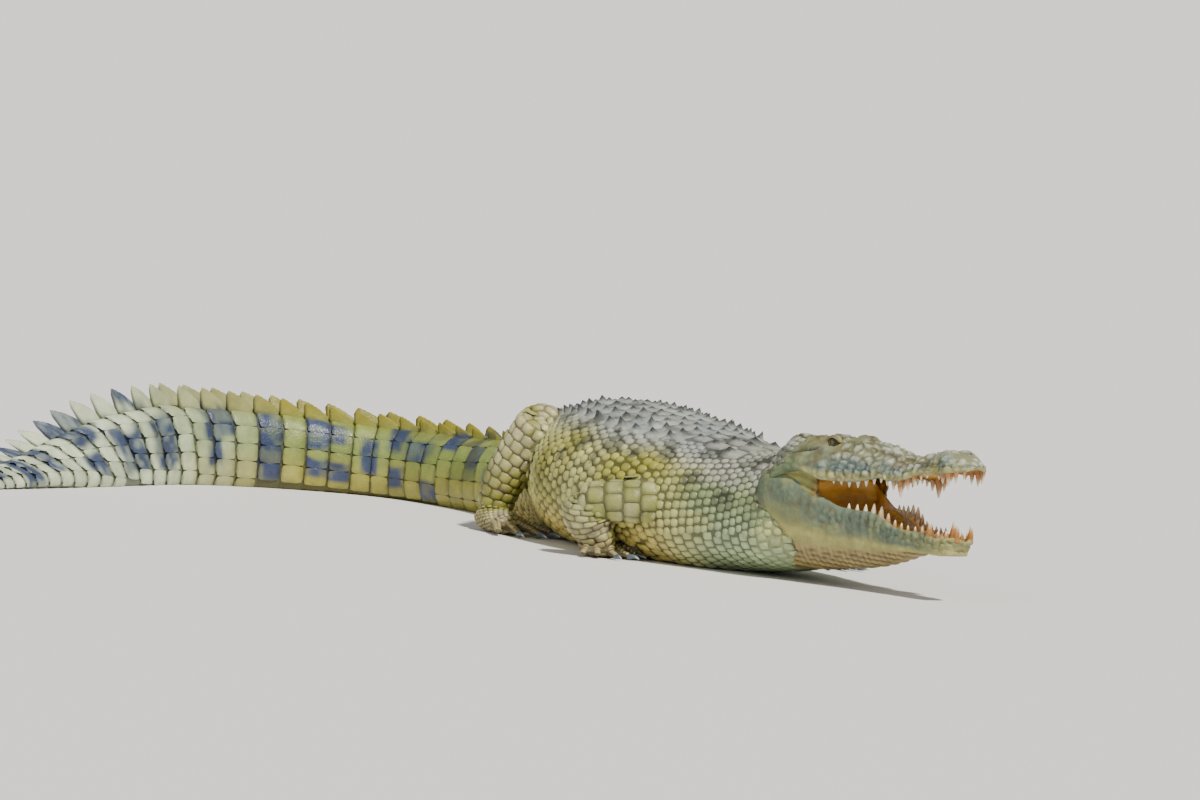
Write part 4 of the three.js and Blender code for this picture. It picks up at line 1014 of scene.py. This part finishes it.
def plates(field, template):
    # field: surface, a and b of each plate's middle, half sizes in a's and b's units, height, dome, keel,
    # way (+1 or -1 for the normal), and each plate's uv.
    # Each point is the surface moved out by height * (1 - r^dome) and by the keel.
    a, b = np.asarray(field["a"], float), np.asarray(field["b"], float)
    x, y, r = template["x"][None], template["y"][None], template["r"][None]
    pa = a[:, None] + np.asarray(field["halfA"])[..., None] * x
    pb = b[:, None] + np.asarray(field["halfB"])[..., None] * y
    base, normal = raisedPoint(field["surface"], pa, pb, field["stepB"])
    normal = normal * field.get("way", 1)
    height = np.asarray(field["height"])[..., None] + 0 * pa
    fall = np.abs(x) if "sideRim" in field else r  # plates with a side rim touch along their sides
    lift = height * (1 - fall ** field.get("dome", 3)) - plateLook["sink"] * (fall > 0.99)
    lift = lift + field.get("tilt", 0.0) * (0.5 + 0.5 * x) * (fall < 0.99)
    if "sideRim" in field:
        lift = lift - 0.9 * (np.abs(y) > 0.99)
    keel = np.asarray(field.get("keel", 0.0))[..., None] + 0 * pa
    ridge = np.clip(1 - np.abs(y) / field.get("keelHalf", 0.62), 0, 1) * (
        np.interp(x, [-0.6, -0.1, 0.45, 0.7, 0.92], [0, 0.3, 1, 0.55, 0]))
    lift = lift + keel * ridge
    points = base + normal * lift[..., None]
    move, keep = field.get("move"), field.get("keep")
    if move is not None:
        points = points + move[:, None]
    points[..., 2] = np.maximum(points[..., 2], 0.3)  # pressed flat where the animal lies on the floor
    edge = field.get("rim", 1.0) * r ** 12 + 0 * pa
    if "sideRim" in field:
        edge = np.maximum(np.abs(x) ** 12, field["sideRim"] * np.abs(y) ** 12) + 0 * pa
    ridgeTone = between(ridge, 0.05, 0.5) * (keel > 2)
    uv = np.asarray(field["uv"])[:, None] + 0.0015 * np.stack([x, y], -1)
    hold = field.get("hold", 0.0)  # how far a plate takes the colour of its middle
    places = points * (1 - hold) + points.mean(1, keepdims=True) * hold
    pa = pa * (1 - hold) + a[:, None] * hold
    shade = (0.86 + 0.28 * random.random(len(a)))[:, None] + 0 * pa
    if keep is not None:
        points, edge, uv, shade, pa, ridgeTone, places = (
            v[keep] for v in (points, edge, uv, shade, pa, ridgeTone, places))
    count, size = points.shape[:2]
    start = (np.arange(count) * size)[:, None, None]
    faces = [(f[None] + start).reshape(-1, f.shape[1]) for f in template["faces"]]
    if field.get("way", 1) < 0:
        faces = [f[:, ::-1] for f in faces]
    return {"points": points.reshape(-1, 3), "faces": faces, "edge": edge.ravel(), "uv": uv.reshape(-1, 2),
            "shade": shade.ravel(), "s": pa.ravel(), "ridge": ridgeTone.ravel(),
            "places": places.reshape(-1, 3)}


def settle(field, tree):  # drops plates buried in another part of the skin and lays the rest on the skin
    middle, _ = raisedPoint(field["surface"], field["a"], field["b"], field["stepB"])
    move, keep = np.zeros((len(middle), 3)), np.zeros(len(middle), bool)
    for n, point in enumerate(middle):
        spot, normal, _, gap = tree.find_nearest(Vector(point))
        inside = (Vector(point) - spot).dot(normal) < 0
        keep[n] = point[2] > 2.5 and (gap < (9 if inside else 26))
        move[n] = np.array(spot) - point
    field["move"], field["keep"] = move, keep
    return field


bodyTree = BVHTree.FromPolygons(bodyPoints.tolist(), bodyQuads.tolist())


def lattice(rows, low, high, pitch):  # rows at each a, with columns from low to high, every other row shifted
    a, b = [], []
    for n, row in enumerate(rows):
        columns = np.arange(low[n] + pitch[n] * 0.5 * (n % 2), high[n], pitch[n])
        a.append(np.full(len(columns), row))
        b.append(columns)
    return np.concatenate(a), np.concatenate(b)


def bodyUv(s, across):  # places on the scales' map: along the body, then across it from the middle line
    span = girthStops[-1] - girthStops[0]
    return np.c_[0.03 + 0.94 * (s - girthStops[0]) / span, 0.5 + across]


def bodyField(a, arc, halfA, halfArc, height, **more):  # arcs are in millimetres from the back's middle line
    girth = halfGirth(a)
    field = {"surface": sideSurface, "a": a, "b": arc / girth, "halfA": halfA + 0 * a,
             "halfB": (halfArc + 0 * a) / girth, "height": height + 0 * a, "stepB": 0.004,
             "uv": bodyUv(a, 0.47 * arc / girth)}
    field.update(more)
    return settle(field, bodyTree)


def jitter(values, amount):
    return values + amount * (random.random(len(values)) - 0.5)


def coat(name, parts, colour):
    points, faces = joined([(p["points"], p["faces"]) for p in parts])
    edge, uv, shade, s, ridge, places = (np.concatenate([p[key] for p in parts])
                                         for key in ("edge", "uv", "shade", "s", "ridge", "places"))
    tint = colour(places, s)
    if name in ("scales_back", "scales_tail"):  # dark keels, fading towards the hips
        tint = mix(tint, paint["keel"], 0.95 * ridge * (1 - between(s, 1000, 1180)))
    piece = newObject(name, points, faces, {"tint": grooved(tint, edge, shade), "uv": uv})
    piece.data.materials.append(keratin)
    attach(piece, "root")
    print(name, sum(len(f) * (f.shape[1] - 2) for f in faces), "triangles")
    return piece


# back: rows of keeled scutes, the outer ones with the tallest keels
backLook = {"from": 352, "pitch": 50, "columns": [24, 71, 117, 160], "half": 23.5, "height": 2.6,
            "keels": [8, 12, 16, 18]}
rows = np.arange(backLook["from"], 1276, backLook["pitch"])
fields = []
for column, keel in zip(backLook["columns"], backLook["keels"]):
    reach = track([[300, 0.72], [520, 1.0], [900, 1.0], [1276, 0.62]], rows)
    for side in (-1, 1):
        a = jitter(rows, 5)
        half = backLook["half"] * (0.96 + 0.1 * random.random(len(a)))
        fields.append(bodyField(a, side * column * reach, half * 1.06, half * reach, backLook["height"],
                                keel=keel * (0.55 + 0.7 * random.random(len(a))), dome=6, rim=0.25,
                                keelHalf=0.5))
# nape: a group of large scutes, and a row of small ones behind the skull
napeSpots = [[178, 34, 30, 12], [178, 96, 27, 12], [242, 30, 28, 10], [242, 88, 24, 9], [52, 28, 15, 7],
             [58, 70, 15, 7], [66, 112, 14, 7], [302, 34, 20, 8], [302, 84, 20, 8]]
for s0, arc, half, keel in napeSpots:
    for side in (-1, 1):
        fields.append(bodyField(np.array([s0 + 0.0]), np.array([side * arc + 0.0]), half, half, 4.5,
                                keel=np.array([keel + 0.0]), dome=5))
backParts = [plates(field, keeled) for field in fields]

# flanks: rounded pebbles, some of them raised higher
flankLook = {"rows": 21.5, "columns": 25, "half": 12.0, "height": 4.4, "raised": 3.0, "raisedShare": 0.1}
rows = np.arange(318, 1278, flankLook["rows"])
edge = 178 * track([[300, 0.72], [520, 1.0], [900, 1.0], [1276, 0.62]], rows)
lowEdge = halfGirth(rows) * 0.66
flank = []
for side in (-1, 1):
    a, arc = lattice(rows, edge, lowEdge, 0 * rows + flankLook["columns"])
    a, arc = jitter(a, 6), jitter(arc, 7)
    size = flankLook["half"] * (0.84 + 0.3 * random.random(len(a)))
    height = flankLook["height"] + flankLook["raised"] * (random.random(len(a)) < flankLook["raisedShare"])
    flank.append(plates(bodyField(a, side * arc, size * 1.02, size, height), pebble))
# belly: brick rows of flat tiles
bellyLook = {"rows": 33, "columns": 25, "halfLength": 16.0, "halfWidth": 12.0, "height": 2.6}
rows = np.arange(306, 1278, bellyLook["rows"])
belly = []
for side in (-1, 1):
    a, arc = lattice(rows, halfGirth(rows) * 0.665, halfGirth(rows) * 0.99, 0 * rows + bellyLook["columns"])
    belly.append(plates(bodyField(jitter(a, 2), side * jitter(arc, 2), bellyLook["halfLength"],
                                  bellyLook["halfWidth"], bellyLook["height"], dome=6), tile))
# neck: a net of round scales above and tiles below
neckLook = {"rows": 18.5, "columns": 20.5, "half": 10.3, "height": 3.4}
throatTiles = {"rows": 25, "columns": 22, "halfLength": 12.0, "halfWidth": 10.6, "height": 2.4}
rows = np.arange(-52, 306, neckLook["rows"])
neck = []
for side in (-1, 1):
    a, arc = lattice(rows, 0 * rows + 10, halfGirth(rows) * 0.6, 0 * rows + neckLook["columns"])
    a, arc = jitter(a, 4), jitter(arc, 4)
    clear = np.ones(len(a), bool)
    for s0, spot, half, _ in napeSpots:
        clear &= np.hypot(a - s0, arc - spot) > half + 7
    a, arc = a[clear], arc[clear]
    size = neckLook["half"] * (0.88 + 0.2 * random.random(len(a)))
    neck.append(plates(bodyField(a, side * arc, size, size, neckLook["height"]), pebble))
rows = np.arange(-54, 306, throatTiles["rows"])
for side in (-1, 1):
    a, arc = lattice(rows, halfGirth(rows) * 0.605, halfGirth(rows) * 0.99, 0 * rows + throatTiles["columns"])
    neck.append(plates(bodyField(jitter(a, 2), side * jitter(arc, 2), throatTiles["halfLength"],
                                 throatTiles["halfWidth"], throatTiles["height"], dome=6), tile))

# back of the head: the neck's scales run up to the table's rear edge
rearLook = {"rows": [508, 526, 543, 558, 575, 594, 613], "last": 566, "inward": 120, "from": 4.4,
            "pitch": 21.0, "half": 10.2, "height": 3.0, "samples": 80}


def rearSurface(side):
    def at(t, w):
        beyond = np.asarray(t, float) + 0 * np.asarray(w, float)
        spots = np.minimum(beyond, rearLook["last"])
        inward = np.maximum(beyond - rearLook["last"], 0) / rearLook["inward"]
        corners, place = upperCorners(spots.ravel()), (np.asarray(w, float) + 0 * spots).ravel()
        n = corners.shape[1]
        i = np.clip(np.floor(place).astype(int), 0, n - 2)
        f, k = (place - i)[:, None], np.arange(len(place))
        p0, p1, p2, p3 = (corners[k, np.clip(i + step, 0, n - 1)] for step in (-1, 0, 1, 2))
        half = 0.5 * (2 * p1 + (p2 - p0) * f + (2 * p0 - 5 * p1 + 4 * p2 - p3) * f ** 2
                      + (3 * p1 - p0 - 3 * p2 + p3) * f ** 3)
        half = half * (1 - inward.ravel()[:, None]) + np.array([0, 40.0]) * inward.ravel()[:, None]
        back = spots.ravel() + 6 * smooth(8 * inward.ravel())
        return upperPoint(back, side * half[:, 0], half[:, 1]).reshape(spots.shape + (3,))
    return at


for side in (1, -1):
    a, b, step = [], [], []
    for n, row in enumerate(rearLook["rows"]):
        w = np.linspace(rearLook["from"], 10, rearLook["samples"])
        path = rearSurface(side)(row + 0 * w, w)
        reach = np.concatenate([[0], np.cumsum(np.linalg.norm(np.diff(path, axis=0), axis=1))])
        at = np.arange(rearLook["pitch"] * 0.5 * (n % 2), reach[-1] - 4, rearLook["pitch"])
        a.append(np.full(len(at), float(row)))
        b.append(np.interp(at, reach, w))
        step.append(np.interp(at + 0.5, reach, w) - np.interp(at - 0.5, reach, w))
    a, b, step = np.concatenate(a), np.concatenate(b), np.maximum(np.concatenate(step), 0.004)
    field = {"surface": rearSurface(side), "a": jitter(a, 4), "b": b, "halfA": rearLook["half"] + 0 * a,
             "halfB": rearLook["half"] * step, "height": rearLook["height"] + 0 * a, "stepB": 0.04,
             "way": side, "uv": np.c_[0.005 + 0.02 * (a - 500) / 120, 0.5 + 0.05 * side * (10 - b)]}
    neck.append(plates(field, pebble))
    neck[-1]["s"] = 0 * neck[-1]["s"] - 20

# tail: whorls of rectangular plates, with the crests standing on them
crestHeights = [[0, 17], [4, 22], [8, 27], [13, 36], [17, 52], [21, 62], [28, 48], [34, 30], [38, 12]]
crestSpread = [[0, 46], [8, 40], [14, 32], [18, 20]]
tailFields = []
for k in range(tail["rings"]):
    front, back = ringEdges[k], ringEdges[k + 1]
    middle = (front + back) / 2
    girth = float(halfGirth(middle))
    spread = float(track(crestSpread, k)) if k < tail["paired"] else 0
    inset = 9 if girth > 90 else 4
    count = max(3, int(round((girth - spread - inset) / min(44, 16 + girth * 0.13))))
    pitch = (girth - spread - inset) / count
    spots = spread + inset + pitch * (np.arange(count) + 0.5)
    for side in (-1, 1):
        a = np.full(count, middle)
        tailFields.append(bodyField(a, side * spots, (back - front) * 0.49, pitch * 0.5, 1.6, dome=12,
                                    tilt=3.6, sideRim=0.35, hold=0.35,
                                    keel=np.where(spots < girth * 0.3, 1.6, 0.0)))
    if spread > 12:
        inner = spread - inset
        tailFields.append(bodyField(np.full(2, middle), np.array([-inner / 2, inner / 2]),
                                    (back - front) * 0.47, inner * 0.45, 3.0, dome=6))
tailParts = [plates(field, keeled) for field in tailFields]


crestLook = {"root": 24}  # how far down the blade's roof-shaped foot reaches


def crestMesh(k, side):  # a thin blade on the ring, leaning back to a point over its rear edge
    front, back = ringEdges[k] + 1.5, ringEdges[k + 1] - 1.5
    height = float(track(crestHeights, k))
    spread = side * (float(track(crestSpread, k)) if k < tail["paired"] else 0)
    thick = tail["thick"] * (1 - 0.5 * k / tail["rings"])
    t = np.linspace(0, 1, 13)[:, None]
    w = 2 * np.pi * np.arange(16)[None] / 16
    top = np.interp(t, [0, 0.08, 0.4, 0.75, 0.93, 1], [0.3, 0.5, 0.78, 0.95, 1.0, 0.8])
    lift = np.where(np.cos(w) > 0, top * np.clip(np.cos(w), 0, 1) ** 0.8, 0)
    share = lift / np.maximum(top, 0.05)
    across = thick * np.sin(w) * (0.25 + 1.5 * (1 - share) ** 1.3)
    across = across * (0.6 + 0.4 * np.sin(math.pi * np.clip(t, 0.05, 0.95)))
    rear = 0.12 * share * smooth(2 * t)
    s = front + (back - front) * (t + rear)
    root = np.minimum(crestLook["root"], 0.7 * track(heights, s))
    up = track(heights, s) - root + (root + height) * lift + 0.8 * np.sin(t * 40) * share
    right, raised = leanPoint(s, spread * (1 + 0.25 * lift) + across, up)
    points, faces = tubeMesh(bodyPoint(rakedPlace(s, up), right, raised))
    place = np.stack(np.broadcast_arrays(t, lift, 0 * t + 0 * w), -1).reshape(-1, 3)
    place = np.concatenate([place, place[:1], place[-1:]])
    uv = bodyUv(middleOf(k), 0.03 * side) + 0.0015 * (2 * place[:, :2] - 1)
    edge = np.maximum(0.5 * (1 - place[:, 1]) ** 6, 0.8 * bell(place[:, 0], 1, 0.05))
    return {"points": points, "faces": faces, "edge": edge, "uv": uv, "s": np.full(len(points), middleOf(k)),
            "shade": np.full(len(points), 0.9 + 0.2 * random.random()),
            "ridge": np.zeros(len(points)), "places": points}


def middleOf(k):
    return float(ringEdges[k] + ringEdges[k + 1]) / 2


crests = [crestMesh(k, side) for k in range(tail["rings"])
          for side in ((-1, 1) if k < tail["paired"] else (0,))]
coat("scales_back", backParts, bodyColour)
coat("scales_flank", flank, bodyColour)
coat("scales_belly", belly, bodyColour)
coat("scales_neck", neck, bodyColour)
coat("scales_tail", tailParts, bodyColour)
coat("tail_crests", crests, bodyColour)


def toeTop(toe):  # the angle round the toe that faces up
    middle = len(toe.path) // 2
    return math.atan2(toe.over[middle, 2], toe.across[middle, 2])


# legs and feet; each pitch is along the limb and round it, in mm
legPitch = {"upper": (30, 34), "lower": (26, 34), "upperFront": (38, 42), "lowerFront": (14, 36),
            "palm": (12, 13)}
legParts = []
for index, (place, leg) in enumerate(legs.items()):
    for kind in ("upper", "lower", "palm"):
        limb = limbs[place][kind]
        length = float(limb.arc[-1])
        pitchA, pitchB = legPitch[kind if "hind" in place or kind == "palm" else kind + "Front"]
        cap = 0.5 * float(limb.wide[0] + limb.thick[0])
        rows = np.arange(-cap * 0.86, length + cap * 0.86, pitchA)
        near = 1 - np.clip(np.maximum(-rows, rows - length), 0, cap) / cap
        girthHere = math.pi * (limb.at(rows, limb.wide) + limb.at(rows, limb.thick)) * near
        counts = np.maximum(3, np.round(girthHere / pitchB)).astype(int)
        a = np.concatenate([np.full(c, row) for c, row in zip(counts, rows)])
        b = np.concatenate([2 * math.pi * (np.arange(c) + 0.5 * (n % 2)) / c for n, c in enumerate(counts)])
        halfB = np.concatenate([np.full(c, math.pi / c * 0.99) for c in counts])
        strip = 3 * index + ("upper", "lower", "palm").index(kind)
        field = {"surface": limb.surface, "a": jitter(a, 1.5), "b": b, "halfA": np.full(len(a), pitchA * 0.5),
                 "halfB": halfB, "height": np.full(len(a), 3.4 if kind != "palm" else 2.4),
                 "stepB": 0.03, "dome": 5,
                 "uv": np.c_[0.03 + 0.075 * (strip + 0.9 * a / length), 0.05 + 0.4 * (b / 6.6)]}
        legParts.append(plates(settle(field, bodyTree), pebble if kind == "palm" else tile))
    for n, toe in enumerate(feet[place][3]):
        length = float(toe.arc[-1])
        rows = np.arange(4, length - 2, 8.5)
        for turn in (-0.62, 0.62) if leg["toes"]["radius"] > 12 else (0.0,):
            field = {"surface": toe.surface, "a": rows, "b": np.full(len(rows), toeTop(toe) + turn),
                     "halfA": np.full(len(rows), 4.2), "halfB": np.full(len(rows), 0.58 if turn else 1.1),
                     "height": np.full(len(rows), 2.0), "stepB": 0.03, "dome": 4,
                     "uv": np.c_[0.05 + 0.2 * index + 0.03 * n + 0.02 * rows / length,
                                 0 * rows + 0.6 + 0.1 * turn]}
            legParts.append(plates(settle(field, bodyTree), tile))
coat("scales_legs", legParts, lambda points, s: legColour(points, bodyPlace(points)[0]))


# eyes, teeth, tongue and claws
def eyeMaterial():
    # A living reptile eye: dark olive-bronze iris with an upright slit, under a wet cornea.
    material, tree = newMaterial("wet_eye")
    tint = addNode(tree, "ShaderNodeAttribute", {"attribute_name": "tint"}).outputs["Color"]
    place = addNode(tree, "ShaderNodeTexCoord").outputs["Object"]
    grain = addNode(tree, "ShaderNodeTexNoise", values={"Scale": 700.0, "Detail": 4.0},
                    links={"Vector": place})
    finishMaterial(tree, tint, grain.outputs["Fac"], {"strength": 0.03, "depth": 0.0002},
                   {"Roughness": 0.12, "Specular IOR Level": 0.3, "Coat Weight": 0.35,
                    "Coat Roughness": 0.02})
    return material


def smoothMaterial(name, rough, shine, size, depth, coatWeight=0.0):
    material, tree = newMaterial(name)
    place = addNode(tree, "ShaderNodeTexCoord").outputs["Object"]
    tint = addNode(tree, "ShaderNodeAttribute", {"attribute_name": "tint"}).outputs["Color"]
    noise = addNode(tree, "ShaderNodeTexNoise", values={"Scale": 1000 / size, "Detail": 4.0},
                    links={"Vector": place})
    shade = addNode(tree, "ShaderNodeMapRange",
                    values={"From Min": 0.3, "From Max": 0.7, "To Min": 0.8, "To Max": 1.15},
                    links={"Value": noise.outputs["Fac"]})
    colour = addNode(tree, "ShaderNodeVectorMath", {"operation": "SCALE"},
                     links={0: tint, "Scale": shade.outputs["Result"]})
    finishMaterial(tree, colour.outputs["Vector"], noise.outputs["Fac"], {"strength": 0.35, "depth": depth},
                   {"Roughness": rough, "Specular IOR Level": shine, "Coat Weight": coatWeight,
                    "Coat Roughness": 0.15})
    return material


wetEye = eyeMaterial()
enamel = smoothMaterial("tooth_enamel", 0.28, 0.5, 5, 0.0002, 0.3)  # old teeth: stained at the root, glossy
horn = smoothMaterial("claw_horn", 0.38, 0.5, 7, 0.0003, 0.15)  # grown in layers, worn pale at the tip
flesh = smoothMaterial("tongue_flesh", 0.42, 0.5, 6, 0.0009, 0.25)  # damp, with fine warts

eyeLook = {"iris": "#5a5222", "irisEdge": "#1f1c0c", "white": "#2b241a", "pupil": "#050504",
           "irisAngle": 0.72}  # the angle is from the pupil's middle to the iris's edge, in radians
for word, side in (("left", 1), ("right", -1)):
    centre = upperPoint(eye["t"], side * eye["y"], eye["z"])
    outward = unit(upperPoint(eye["t"], side * (eye["y"] + 100), eye["z"] + 22) - centre)
    ahead = unit(upperPoint(eye["t"] - 100, side * eye["y"], eye["z"]) - centre)
    ahead = unit(ahead - outward * (ahead @ outward))
    above = np.cross(outward, ahead) * side
    lat = np.concatenate([np.linspace(0, 0.9, 40)[:-1], np.linspace(0.9, math.pi, 30)])[1:-1][:, None]
    lon = np.linspace(0, 2 * math.pi, 72, endpoint=False)[None]
    x, y, z = np.sin(lat) * np.cos(lon), np.sin(lat) * np.sin(lon), np.cos(lat) + 0 * lon
    radius = eye["radius"] - 0.2
    ring = centre + radius * (x[..., None] * ahead + y[..., None] * above + z[..., None] * outward)
    points, faces = tubeMesh(ring)
    away = np.arccos(np.clip(z, -1, 1))
    slit = np.hypot(x / 0.055, y / 0.5)
    streak = cloud(np.stack([np.arctan2(y, x) * 9, away * 3, 0 * away], -1), 1.0, 71)
    iris = mix(linear(eyeLook["iris"]), linear(eyeLook["irisEdge"]), smooth(away / eyeLook["irisAngle"]))
    iris = iris * (0.6 + 0.8 * streak)[..., None]
    white = linear(eyeLook["white"]) + 0 * iris
    tone = mix(iris, white, between(away, 0.66, 0.74))
    tone = mix(tone, linear(eyeLook["pupil"]), 1 - between(slit, 0.85, 1.1))
    tone = tubeTint(tone)
    ball = newObject(f"eyeball_{word}", points, faces, {"tint": tone})
    ball.data.materials.append(wetEye)
    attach(ball, "root")
    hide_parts(f"eye_{word}")


toothLook = {"root": 9, "lean": 3, "swell": 1.08, "flat": 0.82, "bow": 4}


def toothMesh(row, side, widths, lips, inset, way, pointAt):
    t, length, radius = row
    share = np.linspace(0, 1, 11)[:, None]
    a = np.linspace(0, 2 * math.pi, 12, endpoint=False)[None]
    full = length + toothLook["root"]
    r = radius * toothLook["swell"] * (1 - share ** 1.7) ** 0.72 * (1 + 0.1 * bell(share, 0.3, 0.2)) + 0.25
    along = t + toothLook["lean"] * share ** 2 + r * np.cos(a)
    out = float(track(widths, t)) * inset + toothLook["bow"] * share * (1 - share)
    y = side * out + toothLook["flat"] * r * np.sin(a)
    z = float(track(lips, t)) + way * (full * share - toothLook["root"])
    points, faces = tubeMesh(pointAt(along, y, z + 0 * a))
    stain = mix(linear("#a8702e"), linear("#dcd3b4"), between(np.array(t * 1.0), 190, 290))
    tone = mix(stain, linear("#e6dcbc"), between(share, 0.5, 0.95))
    tone = tone * (1 - 0.25 * bell(share, 0.3, 0.08))[..., None]
    tone = np.repeat(tone, 12, axis=1).reshape(-1, 3)
    return points, faces, np.concatenate([tone, tone[:1], tone[-1:]])


for name, rowSet, widths, lips, inset, way, pointAt in (
        ("teeth_upper", upperTeeth, snoutWidths, lipHeights, 0.87, -1, upperPoint),
        ("teeth_lower", lowerTeeth, jawWidths, edgeHeights, 0.88, 1, lowerPoint)):
    made = [toothMesh(row, side, widths, lips, inset, way, pointAt) for side in (-1, 1) for row in rowSet]
    points, faces = joined([m[:2] for m in made])
    teeth = newObject(name, points, faces, {"tint": np.concatenate([m[2] for m in made])})
    teeth.data.materials.append(enamel)
    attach(teeth, "root")

# the tongue: a low mound stuck to the mouth's floor, humped at the back
tongueLook = {"front": 150, "length": 270, "width": 0.58, "rise": 5, "hump": 33, "wart": 7, "wartHeight": 1.4}
u = np.linspace(0, 1, 60)[:, None]
w = np.linspace(0, 2 * math.pi, 48, endpoint=False)[None]
t = tongueLook["front"] + tongueLook["length"] * u
wide = track(jawWidths, t) * tongueLook["width"] * np.sqrt(np.maximum(0.01, 1 - (2 * u - 1) ** 4))
base = track(edgeHeights, t) - track(floorDepths, t)
rise = tongueLook["rise"] + tongueLook["hump"] * np.sin(math.pi * u) ** 0.7
y, z = wide * np.sin(w), base + np.maximum(np.cos(w), -0.1) * rise
tongueRings = lowerPoint(t + 0 * w, y, z - 2)
bumps = cobbles(tongueRings, tongueLook["wart"], 81)
warts = tongueLook["wartHeight"] * bumps * (np.cos(w) > 0)
tongueRings = tongueRings + np.array([0, 0, 1.0]) * warts[..., None]
points, faces = tubeMesh(tongueRings)
tone = mix(linear("#7d5a26"), linear("#a8843c"), bumps) * (0.8 + 0.3 * cloud(tongueRings, 30, 83))[..., None]
tone = tone.reshape(-1, 3)
tongue = newObject("tongue_flesh", points, faces, {"tint": np.concatenate([tone, tone[:1], tone[-1:]])})
tongue.data.materials.append(flesh)
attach(tongue, "root")
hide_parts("tongue")

# claws on the three inner toes; radius and length are shares of the toe's radius, the rest in mm
clawLook = {"radius": 0.56, "length": 2.4, "flat": 0.75, "rise": 2.5, "arch": 3, "fall": 3.2}
for place, leg in legs.items():
    made = []
    for n, toe in enumerate(feet[place][3][:3]):
        end, way = toe.path[-1], toe.along[-1] * np.array([1, 1, 0])
        way = way / np.linalg.norm(way)
        across = np.array([-way[1], way[0], 0])
        r0 = leg["toes"]["radius"] * clawLook["radius"]
        share = np.linspace(-0.25, 1, 16)[:, None]
        a = np.linspace(0, 2 * math.pi, 14, endpoint=False)[None]
        on = np.clip(share, 0, 1)
        r = r0 * (1 - 0.9 * on ** 1.3)
        reach = clawLook["length"] * leg["toes"]["radius"] * share
        up = r0 + clawLook["rise"] + clawLook["arch"] * np.sin(math.pi * on) - clawLook["fall"] * on
        rings = np.array([end[0], end[1], 0]) + reach[..., None] * way
        rings = rings + (clawLook["flat"] * r * np.cos(a))[..., None] * across
        rings[..., 2] = up + r * np.sin(a)
        points, faces = tubeMesh(rings)
        tone = mix(linear("#55636b"), linear("#c8ccc4"), between(share, 0.45, 1)) + 0 * rings
        tone = tone.reshape(-1, 3)
        made.append((points, faces, np.concatenate([tone, tone[:1], tone[-1:]])))
    points, faces = joined([m[:2] for m in made])
    claws = newObject(f"claws_{place}", points, faces, {"tint": np.concatenate([m[2] for m in made])})
    claws.data.materials.append(horn)
    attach(claws, "root")
    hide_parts(*[f"claw_{place}_{n}" for n in (1, 2, 3)])
print("eyes, teeth, tongue and claws")


# floor, light and camera
stage = {"floor": "#e4e2dd", "sky": 0.36, "lens": 341.25, "distance": 26.0, "elevation": 3.5, "roll": 4.9,
         "target": [-505, 0, 370]}  # the target is in millimetres from the back of the skull
floorMesh = bpy.data.meshes.new("floor")
floorMesh.from_pydata([(-60, -60, 0), (60, -60, 0), (60, 240, 0), (-60, 240, 0)], [], [(0, 1, 2, 3)])
floor = bpy.data.objects.new("floor", floorMesh)
bpy.context.scene.collection.objects.link(floor)
plaster, tree = newMaterial("pale_plaster")
shader = addNode(tree, "ShaderNodeBsdfPrincipled",
                 values={"Base Color": (*linear(stage["floor"]), 1), "Roughness": 0.9,
                         "Specular IOR Level": 0.2})
addNode(tree, "ShaderNodeOutputMaterial", links={"Surface": shader.outputs["BSDF"]})
floor.data.materials.append(plaster)

sky = bpy.data.worlds.new("sky")
bpy.context.scene.world = sky
sky.use_nodes = True
sky.node_tree.nodes["Background"].inputs["Color"].default_value = (0.97, 0.98, 1.0, 1)
sky.node_tree.nodes["Background"].inputs["Strength"].default_value = stage["sky"]


def sunLight(name, azimuth, height, strength, softness, colour):  # azimuth from +X towards +Y, in degrees
    lamp = bpy.data.lights.new(name, "SUN")
    lamp.energy, lamp.angle, lamp.color = strength, math.radians(softness), colour
    obj = bpy.data.objects.new(name, lamp)
    a, h = math.radians(azimuth), math.radians(height)
    towards = -Vector((math.cos(a) * math.cos(h), math.sin(a) * math.cos(h), math.sin(h)))
    obj.matrix_world = towards.to_track_quat("-Z", "Y").to_matrix().to_4x4()
    bpy.context.scene.collection.objects.link(obj)


sunLight("key", -60, 52, 5.0, 4, (1.0, 0.98, 0.94))
sunLight("fill", -140, 20, 0.5, 40, (0.97, 0.98, 1.0))

camera = bpy.data.objects.new("camera", bpy.data.cameras.new("camera"))
camera.data.lens, camera.data.sensor_width, camera.data.clip_end = stage["lens"], 36, 200
tilt = math.radians(stage["elevation"])
target = Vector(world(np.array(stage["target"], float)))
seat = target - stage["distance"] * Vector((0, math.cos(tilt), -math.sin(tilt)))
turn = Matrix.Rotation(math.pi / 2 - tilt, 4, "X") @ Matrix.Rotation(math.radians(stage["roll"]), 4, "Z")
camera.matrix_world = Matrix.Translation(seat) @ turn
bpy.context.scene.collection.objects.link(camera)
bpy.context.scene.camera = camera
